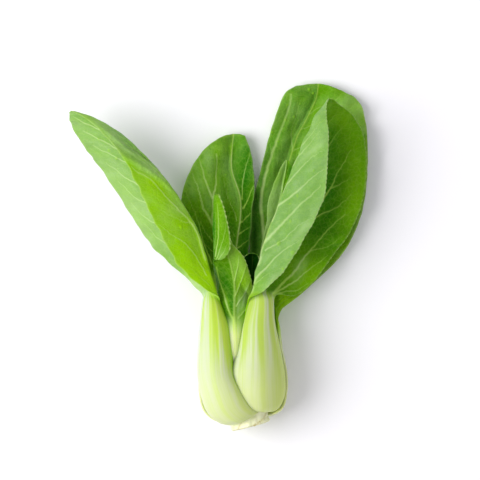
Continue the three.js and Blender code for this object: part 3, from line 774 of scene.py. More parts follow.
@dataclass
class Leaf:
    """A leaf with its stalk: its stations, its edge, and everything that shows on it."""

    name: str
    slot: str
    outer: int
    rows: int
    half_columns: int
    wave: Pair
    stations: list[Station]
    near_inner: Face
    near_outer: Face
    far_inner: Face
    far_outer: Face
    veins: list[Vein] = field(default_factory=list)
    fans: list[VeinFan] = field(default_factory=list)
    ridges: list[Ridge] = field(default_factory=list)
    patches: list[Patch] = field(default_factory=list)
    drops: list[Drop] = field(default_factory=list)
    quilt: float = 0.25  # height of the bulges between the veins
    unevenness: float = 0.25
    teeth: float = 0.0  # length of the small teeth on the margin
    pale_rim: float = 0.4
    pale_rib: Pair = (0.9, 0.2)  # paleness of the rib at the neck and at the tip
    rib_line: Pair = (0.9, 0.35)  # half width of its pale line, neck and tip
    rib_body: Pair = (2.8, 1.0)  # half width of the rib itself, neck and tip
    sunk_rib: float = 0.0  # share of the rib's extra depth that its inner face goes without
    blade_from: Pair | None = None  # where the blade's green starts and is full, by y
    # The stalk's green edge is its own; its tone and width, raised on the front leaves and the young centre
    # leaf, are partly painted light that passes through the thin wing.
    wing: Pair = (0.88, 0.88)  # share of each half where the stalk's green edge starts
    wing_from: Pair = (14, 40)  # where that green edge starts and is full, by y
    wing_tone: float = 0.62
    cream: Pair = (0.0, 0.0)  # paleness of the stalk's near and far side at its foot, the flesh's own and, on the front leaves, painted light on the lamp's side and painted shade on the other
    cream_top: Pair = (0.0, 0.0)  # and at its neck
    fresh: float = 0.0  # how much greener the whole stalk is
    scallop: float = 0.12  # how far the margin swings in and out
    seam: float = 1.2  # how softly the colours of the two halves meet along the rib
    rim_from: float = 0.0  # where the near margin's pale rim starts, by y
    pucker: float = 0.0  # how strongly small wrinkles show, as bumps with painted shade in them
    cell: float = 0.2  # how much cooler the skin is between the veins, painted sheen
    seed: int = 1
    finish: LeafFinish = LeafFinish()

    # -------------------------------------------------------------- the middle surface
    def _columns(self, section: Array) -> Array:
        """Knot numbers of the columns, for sections shaped (rows, 9, 3)."""
        spans = np.linalg.norm(np.diff(section, axis=1), axis=2)
        wanted = np.linspace(0.0, 1.0, self.half_columns + 1)
        knots = np.zeros((len(section), 2 * self.half_columns + 1))
        extra = np.array([RIB_SHARE, RIB_SHARE, 0.0, 0.0])
        for row, span in enumerate(spans):
            for side, widths in ((-1, span[3::-1]), (1, span[4:])):
                edges = np.concatenate([[0.0], np.cumsum(widths + extra)])
                inside = np.interp(wanted * edges[-1], edges, np.arange(5.0))
                columns = self.half_columns + side * np.arange(self.half_columns + 1)
                knots[row, columns] = 4.0 + side * inside
        return knots

    def sheet(self) -> Sheet:
        """The middle surface with its depth, before any fine relief."""
        rails = np.array([s.points for s in self.stations]).transpose(1, 0, 2)
        spans = np.linalg.norm(np.diff(rails, axis=1), axis=2)[[0, 4, 8]].max(axis=0)
        travel = np.concatenate([[0.0], np.cumsum(spans)])
        places = np.interp(
            np.linspace(0.0, travel[-1], self.rows), travel, np.arange(len(self.stations))
        )
        section = spline(rails, np.tile(places, (9, 1))).transpose(1, 0, 2)
        depths = np.array([s.depths for s in self.stations])
        below = np.clip(np.floor(places).astype(int), 0, len(self.stations) - 2)
        part = (places - below)[:, None]
        depths = depths[below] * (1.0 - part) + depths[below + 1] * part

        knot = self._columns(section)
        place = spline(section, knot)
        low = np.clip(np.floor(knot).astype(int), 0, 7)
        row = np.arange(self.rows)[:, None]
        depth = depths[row, low] + (depths[row, low + 1] - depths[row, low]) * (knot - low)

        number = np.arange(-self.half_columns, self.half_columns + 1)
        side = np.where(number < 0, -1, 1)[None, :] * np.ones_like(knot)
        share = np.abs(number)[None, :] / self.half_columns * np.ones_like(knot)
        length = np.concatenate(
            [[0.0], np.cumsum(np.linalg.norm(np.diff(section[:, 4], axis=0), axis=1))]
        )
        webs = [np.linalg.norm(section[:, a] - section[:, b], axis=1) for a, b in ((2, 0), (6, 8))]
        webs = [smooth(*WEB_WIDTH, web)[:, None] for web in webs]
        leafy = np.where(side < 0, *webs)
        if self.blade_from:
            leafy = np.maximum(leafy, smooth(*self.blade_from, place[..., 1]))

        phase = length[:, None] / EDGE_WAVE * TURN + np.where(side < 0, 0.0, FAR_PHASE)
        height = np.where(side < 0, self.wave[0], self.wave[1]) * leafy * share**2
        height = height * (1.0 + 0.35 * np.sin(0.23 * phase + self.seed))
        place[..., 2] += height * np.sin(phase + 0.9 * np.sin(0.37 * phase + self.seed))

        steps = np.linalg.norm(np.diff(place, axis=1), axis=2)
        reach = np.concatenate([np.zeros((self.rows, 1)), np.cumsum(steps, axis=1)], axis=1)
        reach -= reach[:, self.half_columns][:, None]
        normal, across = self._facing(place)
        length = length[:, None] + 0.0 * reach
        return Sheet(place, depth, normal, across, share, side, leafy, length, reach)

    @staticmethod
    def _between(ends: Pair, share: Array) -> Array:
        """A value that goes from one end to the other."""
        return ends[0] + (ends[1] - ends[0]) * share

    @staticmethod
    def _facing(place: Array) -> tuple[Array, Array]:
        """The unit normal and the unit direction across, at every point of a surface."""
        along = np.gradient(place, axis=0)
        across = np.gradient(place, axis=1)
        return unit(np.cross(along, across)), unit(across)

    # -------------------------------------------------------------- veins
    def _laid(self, sheet: Sheet, half: Half, path: list[Pair]) -> Array:
        """A path seen from above, laid as points on one half of the middle surface."""
        flat = np.array([[x, y, 0.0] for x, y in path])
        steps = np.linspace(0, len(flat) - 1, LINE_STEPS * (len(flat) - 1) + 1)
        drawn = spline(flat[None], steps[None])[0][:, :2]
        mine = sheet.side == half.value
        mine[:, self.half_columns] = True
        ground = sheet.place[mine]
        gaps = np.linalg.norm(ground[None, :, :2] - drawn[:, None], axis=2)
        return ground[(gaps - UPPER_BIAS * ground[:, 2]).argmin(axis=1)]

    def _creases(self, sheet: Sheet) -> Array:
        """How far the creases lift the surface, upwards as seen from above."""
        lift = np.zeros(sheet.depth.shape)
        for ridge in self.ridges:
            line = self._laid(sheet, ridge.half, ridge.path)
            mine = sheet.side == ridge.half.value
            ground = sheet.place[mine]
            gaps = np.linalg.norm(ground[:, None] - line[None], axis=2)
            part = gaps.argmin(axis=1) / (len(line) - 1)
            fade = smooth(0.0, 0.2, part) * (1.0 - smooth(0.8, 1.0, part))
            lift[mine] += ridge.height * bell(gaps.min(axis=1), ridge.width) * fade
        return lift

    def _drops(self, sheet: Sheet) -> Array:
        """How far the drops of water stand above the surface that faces up."""
        height = np.zeros(sheet.depth.shape)
        for half, x, y, radius in self.drops:
            middle = self._laid(sheet, half, [(x, y), (x + 0.01, y)])[0]
            gap = np.linalg.norm(sheet.place - middle, axis=2) / radius
            round_top = np.sqrt(np.clip(1.0 - gap**2, 0.0, 1.0))
            height = np.maximum(height, DROP_HEIGHT * radius * round_top * (sheet.side == half.value))
        return height

    def _lines(self, sheet: Sheet) -> list[tuple[Half, Array, Pair, float]]:
        """Every side vein as a line of points on the middle surface."""
        lines = [
            (vein.half, self._laid(sheet, vein.half, vein.path), vein.width, vein.strength)
            for vein in self.veins
        ]
        draw = np.random.default_rng(self.seed)
        for fan in self.fans:
            for start in np.linspace(fan.start, fan.end, fan.count):
                start += draw.uniform(-FAN_SHIFT, FAN_SHIFT)
                lead = fan.lead * draw.uniform(0.85, 1.15)
                out = np.linspace(0.0, FAN_REACH, FAN_POINTS)
                row = np.clip((start + lead * out**1.25) * (self.rows - 1), 0, self.rows - 1)
                column = self.half_columns * (1.0 + fan.half.value * out)
                line = sheet.place[row.round().astype(int), column.round().astype(int)]
                lines.append((fan.half, line, fan.width, fan.strength))
        return lines

    def _vein_field(self, sheet: Sheet) -> tuple[Array, Array]:
        """How strongly a vein shows at each point, and the distance to the nearest vein."""
        shown = np.zeros(sheet.depth.shape)
        nearest = np.full(sheet.depth.shape, FAR_AWAY)
        for half, line, width, strength in self._lines(sheet):
            mine = sheet.side == half.value
            ground = sheet.place[mine]
            best = np.full(len(ground), FAR_AWAY)
            drawn = np.zeros(len(ground))
            count = len(line) - 1
            for k in range(count):
                start, span = line[k], line[k + 1] - line[k]
                size = max(float(np.dot(span, span)), 1e-9)
                part = np.clip((ground - start) @ span / size, 0.0, 1.0)
                gap = np.linalg.norm(ground - start - part[:, None] * span, axis=1)
                far = (k + part) / count
                wide = width[0] + (width[1] - width[0]) * far
                glow = bell(gap, wide) * (1.0 - VEIN_FADE * far) * strength
                drawn = np.maximum(drawn, glow)
                best = np.minimum(best, gap)
            shown[mine] = np.maximum(shown[mine], drawn)
            nearest[mine] = np.minimum(nearest[mine], best)
        return shown, nearest

    # -------------------------------------------------------------- relief
    def _skin(self, sheet: Sheet, gap: Array, open_blade: Array) -> Array:
        """The middle surface with its quilting, its unevenness and its creases."""
        u, v = sheet.reach, sheet.length
        quilt = self.quilt * (1.0 - bell(gap, QUILT_GAP)) * open_blade
        quilt *= (1.0 - 0.5 * sheet.share**4) * smooth(0.0, QUILT_FROM_RIB, np.abs(u))
        uneven = self.unevenness * ripple(u, v, LUMP, self.seed) * sheet.leafy
        uneven += CRUMPLE_SHARE * self.unevenness * ripple(u, v, CRUMPLE, self.seed + 7) * open_blade
        place = sheet.place + sheet.normal * (uneven - self.outer * quilt)[..., None]
        place[..., 2] += self._creases(sheet)
        return place

    def _margin(self, sheet: Sheet) -> tuple[Array, Array, Array]:
        """The distance to the margin, how far the margin is pushed out, and its rim's beads."""
        v = sheet.length
        width = np.abs(sheet.reach[:, [0, -1]])
        to_edge = np.where(sheet.side < 0, width[:, :1], width[:, 1:]) - np.abs(sheet.reach)
        tooth = 0.5 + 0.5 * np.sin(v * TURN / TOOTH_STEP + 0.8 * np.sin(v * 0.9))
        beads = 0.25 + 0.75 * tooth**1.5 if self.teeth >= TOOTHED else np.ones_like(v)
        tooth = (tooth**2 - 0.6) * np.exp(-to_edge / TOOTH_REACH) * sheet.leafy * self.teeth
        swing = ripple(v + FAR_SHIFT * (sheet.side > 0), 0.0 * v, SWING_STEP, self.seed + 21) - 0.6
        return to_edge, tooth + swing * sheet.share**6 * sheet.leafy * self.scallop, beads

    def _flutes(self, sheet: Sheet, y: Array) -> tuple[Array, Array]:
        """The stalk's broad flutes and fine fibres, each from about -1 to 1."""
        draw = np.random.default_rng(self.seed + 40)
        fluted = 0.3 + 0.7 * smooth(*FLUTED_FROM, y)
        flutes, fibres = np.zeros_like(y), np.zeros_like(y)
        for count, height in STALK_FLUTES:
            turn = draw.uniform(0, TURN)
            flutes += height * np.cos(TURN * count * sheet.share * sheet.side + turn)
        flutes *= fluted * (1.0 - sheet.share**4)
        for rate in STALK_FIBRES:
            swing = draw.uniform(0, TURN)
            drift = draw.uniform(-FIBRE_DRIFT, FIBRE_DRIFT)
            across = rate * sheet.side * sheet.share * 2.1
            fibres += np.sin(across + drift * sheet.length + swing) / rate**0.4
        fibres *= (1.0 - sheet.share**6) * fluted
        return flutes, fibres

    def _thickness(self, sheet: Sheet, to_edge: Array, open_blade: Array) -> Array:
        """The depth of the leaf, rounded off along its margin and at its two ends."""
        ends = np.minimum(np.arange(self.rows), np.arange(self.rows)[::-1])[:, None]
        depth = sheet.depth * (1.0 - THINNED * open_blade)
        inward = 1.0 - np.clip(to_edge / MARGIN_ROUND, 0, 1)
        round_edge = np.maximum(np.sqrt(1.0 - inward**2), MARGIN_LEAST)
        return depth * np.where(ends < 2, END_SHARE, 1.0) * round_edge

    # -------------------------------------------------------------- how each face looks
    def _look(self, sheet: Sheet, outside: bool, name: str) -> Array:
        """A number of one face, spread over its two halves, which blend along the rib."""
        halves = (self.near_outer, self.far_outer) if outside else (self.near_inner, self.far_inner)
        near, far = (getattr(half, name) for half in halves)
        return self._between((near, far), smooth(-self.seam, self.seam, sheet.reach))

    def _shade(
        self, sheet: Sheet, place: Array, gap: Array, outside: bool
    ) -> tuple[Array, Array, Array]:
        """How light and how cool one face is, and how much painted shade it has.

        Args:
            sheet: the middle surface.
            place: the surface with its relief.
            gap: the distance to the nearest vein.
            outside: whether this is the leaf's outer face.

        Returns:
            Tone, coolness and share of painted shade at each place.
        """
        tone, cool, painted_shade = (self._look(sheet, outside, name) for name in ("tone", "cool", "painted_shade"))
        # painted sheen: cooler in broad spots and between the veins
        cool = cool + COOL_SWING * ripple(sheet.reach, sheet.length, COOL_SPOT, self.seed + 3)
        cool = cool + self.cell * (COOL_LEVEL - bell(gap, COOL_GAP)) * sheet.leafy
        cool = cool * sheet.leafy
        tone = tone + (self.wing_tone - tone) * (1.0 - sheet.leafy)
        for patch in self.patches:
            soft = patch.strength(place) * (sheet.side == patch.half.value)
            tone = tone + patch.tone * soft
            cool = cool + patch.cool * soft
            painted_shade = painted_shade + patch.painted_shade * soft
        return tone, cool, np.clip(painted_shade, 0, 1)

    def _streaks(self, sheet: Sheet, y: Array, flutes: Array, fibres: Array) -> Array:
        """How pale the stalk is, from 0 where it is green upwards, with the painted light and shade of its
        sides.
        """
        upper = smooth(*STALK_TOP, y)
        streak = STREAK_FOOT - self.fresh + STREAK_FIBRE * fibres
        streak = streak + (STREAK_FLUTE + STREAK_FLUTE * upper) * flutes - STREAK_FALL * upper
        cream = [self._between((low, top), upper) for low, top in zip(self.cream, self.cream_top)]
        return np.clip(streak + np.where(sheet.side < 0, cream[0], cream[1]) * sheet.share, 0, 1.6)

    def faces(self) -> tuple[Array, dict[str, Array], Array]:
        """Both faces of the leaf with all relief, and what its finish reads.

        Returns:
            Points shaped (2, rows, columns, 3); named values shaped (2, rows, columns); and the
            flat coordinates (rows, columns, 2) in millimetres that the finish's pattern follows.
        """
        sheet = self.sheet()
        u, v, leafy, near_half = sheet.reach, sheet.length, sheet.leafy, sheet.side < 0
        vein, gap = self._vein_field(sheet)
        along = smooth(*RIB_STRETCH, v / v[-1])
        rib = np.exp(-((u / self._between(self.rib_body, along)) ** 4))
        rib_line = bell(u, self._between(self.rib_line, along))
        open_blade = leafy * (1.0 - rib)
        place = self._skin(sheet, gap, open_blade)
        to_edge, push, beads = self._margin(sheet)
        place += sheet.across * (sheet.side * push)[..., None]
        normal, _ = self._facing(place)
        y = place[..., 1]
        flutes, fibres = self._flutes(sheet, y)
        thick = smooth(*STALK_DEPTH, sheet.depth[:, self.half_columns])[:, None]
        relief = (STALK_RIDGE * flutes + STALK_FIBRE * fibres) * ((1.0 - leafy) * thick)
        depth = self._thickness(sheet, to_edge, open_blade)
        drops = self._drops(sheet)

        paleness = self._between(self.pale_rib, along) * leafy
        wing = [smooth(start, 1.0, sheet.share) for start in self.wing]
        wing = np.where(near_half, *wing) * smooth(*self.wing_from, y)
        rimmed = np.where(near_half, smooth(self.rim_from - 4.0, self.rim_from, y), 1.0)
        shared = {
            "rim": bell(to_edge, RIM_WIDTH) * leafy * self.pale_rim * beads * rimmed,
            "pucker": self.pucker * leafy * (0.4 + 0.6 * sheet.share),
            "streak": self._streaks(sheet, y, flutes, fibres),
            "base": 1.0 - smooth(0.0, BASE_REACH, v / v[-1]),
        }
        points, values = [], []
        for facing in (1, -1):
            outside = facing == self.outer
            height = self._look(sheet, outside, "raised") * vein * open_blade
            lift = depth / 2.0
            if outside:
                height = height + relief
            else:
                lift = lift - self.sunk_rib * np.maximum(lift - BLADE_DEPTH / 2.0, 0.0) * leafy
            wet = drops * (facing * normal[..., 2] > 0.0)
            points.append(place + normal * (facing * (lift + height + wet))[..., None])
            tone, cool, painted_shade = self._shade(sheet, place, gap, outside)
            pale = (rib if outside else rib_line) * paleness
            values.append(shared | {
                "tone": tone,
                "cool": cool,
                "painted_shade": painted_shade,
                "vein": np.clip(vein * self._look(sheet, outside, "vein") * leafy, 0, 1),
                "wet": smooth(0.0, 0.12, wet),
                "stalk": np.clip((1.0 - leafy) * (1.0 - wing) + pale, 0, 1),
            })
        named = {key: np.array([value[key] for value in values]) for key in values[0]}
        return np.array(points), named, np.stack([u, v], axis=-1)

    def make(self) -> bpy.types.Object:
        """Build the leaf and dress it in its finish.

        Returns:
            The finished piece.
        """
        points, values, flat = self.faces()
        _, rows, columns, _ = points.shape
        mesh, where = closed_grid(f"{self.name}_mesh", rows, columns)
        face, row, column = where.T
        place_in_frame(mesh, points[face, row, column])
        for name, value in values.items():
            write_value(mesh, name, value[face, row, column])
        corners = np.zeros(len(mesh.loops), np.int32)
        mesh.loops.foreach_get("vertex_index", corners)
        layer = mesh.uv_layers.new(name="leaf_plane")
        layer.uv.foreach_set("vector", flat[row, column][corners].astype(np.float32).ravel())
        return finish_piece(mesh, self.name, self.finish.material(f"{self.slot}_finish"))


# ------------------------------------------------------------------ the grown leaves
# The left front leaf, folded so that its bright near half lies over its pale far half.
FRONT_LEFT = Leaf(
    name="leaf_front_left", slot="front_left_leaf", outer=1, rows=300, half_columns=74, wave=(0.5, 1.0),
    stations=[
        stalk((12.4, 8.2, 29.5), (4.5, 3.9, 31.6), (-3.2, 2.2, 19.4), 3.4),
        stalk((10.6, 10, 31.8), (0.4, 5.6, 34.8), (-8.6, 4.2, 18.4), 5),
        stalk((8, 12.8, 33.6), (-3.8, 9.6, 37.2), (-13, 8.8, 17.8), 5.8),
        stalk((4.6, 16.8, 34.6), (-6.6, 16.5, 38.6), (-15, 16, 17.6), 6.2),
        stalk((-0.8, 26, 34.8), (-9.6, 26.5, 38.4), (-15.6, 27, 17.8), 6.2),
        stalk((-2.1, 39, 33.8), (-10.6, 39.5, 37.2), (-15.8, 40, 19.4), 5.6),
        stalk((-4, 53, 32.6), (-11.2, 53.5, 36), (-15.6, 54, 22.4), 4.6),
        neck((-7.3, 63.8, 31.1), (-8.2, 63.8, 31), (-12.2, 64.8, 33.4), (-15.6, 65.8, 25.8),
             (-16.1, 65.8, 25), 2.9, bow=0.85),
        neck((-8.5, 67.2, 35.6), (-8.8, 66.9, 32.4), (-12.6, 67.8, 31.6), (-15.8, 68.6, 26.8),
             (-17.2, 68.4, 25.8), 2.7, (0.2, 0)),
        neck((-15.8, 71.2, 38.6), (-10, 70.4, 33.8), (-12.8, 71, 30.6), (-16, 71.5, 27.6),
             (-20, 71.6, 25.4), 2.7, (0.4, 0)),
        neck((-23.4, 77.2, 40.2), (-12, 77, 34.2), (-13.6, 77.6, 31), (-16.4, 77.8, 28.8),
             (-26.4, 77.6, 23), 2.2, (0.6, 0.6)),
        blade((-29, 83.2, 41.4), (-14.6, 85, 32.8), (-33, 83.4, 21), 1.8, 1.7, (1, 2), 1.8),
        blade((-35.4, 94, 42.4), (-18.2, 97.4, 33.6), (-43.2, 93.4, 19.6), 1.8, 1.6, (1, 3), 1.8),
        blade((-42.8, 108.4, 43), (-25.6, 112.2, 34.6), (-52.4, 106.8, 19), 1.7, 1.4, (1, 3.4), 1.7),
        blade((-50.2, 124.2, 43), (-35.2, 126.2, 35.4), (-62.8, 123.4, 19.4), 1.6, 1.3, (1, 3.4), 1.6),
        blade((-57.2, 137.8, 42), (-44.6, 137.4, 35.8), (-73.2, 137.8, 21), 1.5, 1.2, (0.8, 3), 1.5),
        blade((-66.6, 149.4, 39.6), (-58.4, 150.3, 35), (-80.3, 148, 23.6), 1.3, 1.1, (0.5, 2.2), 1.4),
        blade((-74, 156.4, 36.6), (-69.4, 156.9, 33.4), (-84.4, 155.4, 25.6), 1.2, 1, (0.2, 1.2), 1.3),
        blade((-81.2, 161.2, 33.2), (-79.2, 161.1, 31.2), (-85.4, 159.4, 26.8), 1, 0.9, (0, 0.6), 1.1),
        blade((-84.6, 162.4, 31), (-84.2, 162.4, 29.8), (-85.4, 161.4, 27.8), 0.8, 0.8, (0, 0), 1),
    ],
    # The near half's bright yellow-green is partly painted light that shines through it, and the far strip's
    # paleness partly painted light and sheen from the lamp; the near patches paint the shade and sheen of
    # its folds.
    near_inner=Face(0.7, -0.03, 0.8, 0.18), near_outer=Face(0.7, 0.7, 0.7, 0.22),
    far_inner=Face(0.45, 0.15, 0.8, -0.08), far_outer=Face(0.47, 0.8, 1.0, 0.16),
    veins=on(NEAR, Vein, [
        ([(-15.6, 86.3), (-19.2, 98.3), (-23.4, 105.6), (-32.8, 115.4), (-43.7, 127.4), (-51, 131.6),
          (-53, 133.6)], 1.0, (0.55, 0.4)),
        ([(-14.6, 78), (-18.2, 84.8), (-26, 94.6), (-31.7, 98.3), (-39, 104)], 0.9, (0.5, 0.3)),
        ([(-20.8, 103.5), (-28.6, 106.6), (-34.8, 109.7), (-42, 114)], 0.6, (0.45, 0.3)),
        ([(-13.4, 73), (-17.4, 77), (-24, 82.6)], 0.6, (0.4, 0.25)),
        ([(-27, 109.5), (-36, 115), (-46, 122)], 0.5, (0.5, 0.25)),
        ([(-36.4, 126.4), (-41, 131), (-49.4, 137.8), (-60.8, 145.6), (-68, 153)], 0.45, (1.1, 0.9)),
        ([(-37, 129), (-45, 136), (-53, 142.4), (-62, 149)], 0.5, (0.5, 0.3)),
        ([(-46, 141), (-54, 146.4), (-66, 153.4)], 0.5, (0.45, 0.3)),
    ]) + on(FAR, Vein, [
        ([(-44, 133.5), (-52, 138), (-64, 145.1), (-78, 152.4)], 0.8),
        ([(-40, 128), (-48, 131), (-57.2, 136.8), (-72.8, 144.6)], 0.8),
        ([(-33, 120), (-44, 123), (-53, 126.4), (-66, 136.2)], 0.8),
        ([(-60, 149.8), (-72.8, 154.4), (-83.2, 159.6)], 0.7, (0.5, 0.25)),
        ([(-29, 113), (-40, 114.6), (-49.4, 117), (-59.8, 126.4)], 0.75),
        ([(-24, 104), (-34, 104), (-43.2, 105.6), (-53.6, 115.4)], 0.7),
        ([(-19, 94), (-28, 93), (-36.4, 94.6), (-46.3, 104.5)], 0.7),
    ]),
    patches=on(NEAR, Patch, [
        ((-49, 139.5), (20, 6.5), 138, -0.2, 0.55), ((-41, 137.6), (10, 2.4), 136, -0.14, 0.1),
        ((-55.4, 148), (13, 2), 142, -0.12), ((-41.6, 126.6), (7, 2.2), 140, 0.16, -0.2),
        ((-64, 151), (16, 4.2), 142, -0.14, 0.66), ((-23, 104), (24, 4), 118, -0.06, 0.12),
        ((-16, 76), (16, 9), 120, 0.3, -0.1), ((-40, 122), (12, 4), 130, 0.09, 0.05),
        ((-36, 109), (13, 8), 125, 0.03, 0.14),
    ]) + on(FAR, Patch, [
        ((-50, 108), (30, 8), 122, 0.16), ((-31, 84), (14, 6), 130, -0.05, -0.35),
        ((-20.6, 74), (8, 5), 125, 0.4, 0.3),
    ]),
    ridges=on(NEAR, Ridge, [
        ([(-64, 144.6), (-57.2, 139.2), (-52, 136.4), (-44.2, 131.8), (-34.8, 124.3),
          (-30, 119)], 1.3, 1.3),
        ([(-72, 156.5), (-62, 148.6), (-54, 142), (-47, 137.6), (-38, 131)], 0.9, 0.8),
        ([(-62, 152.4), (-54, 146.4), (-46, 140.4), (-40, 135)], 0.8, 0.7),
        ([(-60, 148.2), (-50, 141), (-43, 135.6), (-36, 128.6)], 0.6, -0.8),
        ([(-24, 112), (-18.6, 101), (-14, 88), (-12, 78)], 0.9, 0.4),
    ]),
    quilt=0.12, unevenness=0.22, scallop=0.4, pale_rim=0.2, pale_rib=(0.3, 0.0), blade_from=(63, 72),
    drops=on(NEAR, Drop, [(-27.6, 103, 0.8), (-30, 96.4, 0.5)]) + on(FAR, Drop, [
        (-57, 137.6, 0.7), (-64.6, 142.4, 0.8), (-70, 148, 0.6), (-60.8, 138.2, 0.9), (-48.4, 123.6, 0.8),
        (-34.4, 94.4, 0.8), (-39, 104, 0.6),
    ]),
    wing=(0.56, 0.94), wing_from=(0, 28), wing_tone=1.15, fresh=-0.07, cream=(-0.2, 0.5),
    cream_top=(-1.0, 1.0), seam=0.3, cell=0.1, seed=3,
    finish=LeafFinish(stalk_pale=(205, 209, 200), stalk_green=(184, 211, 76)),
)

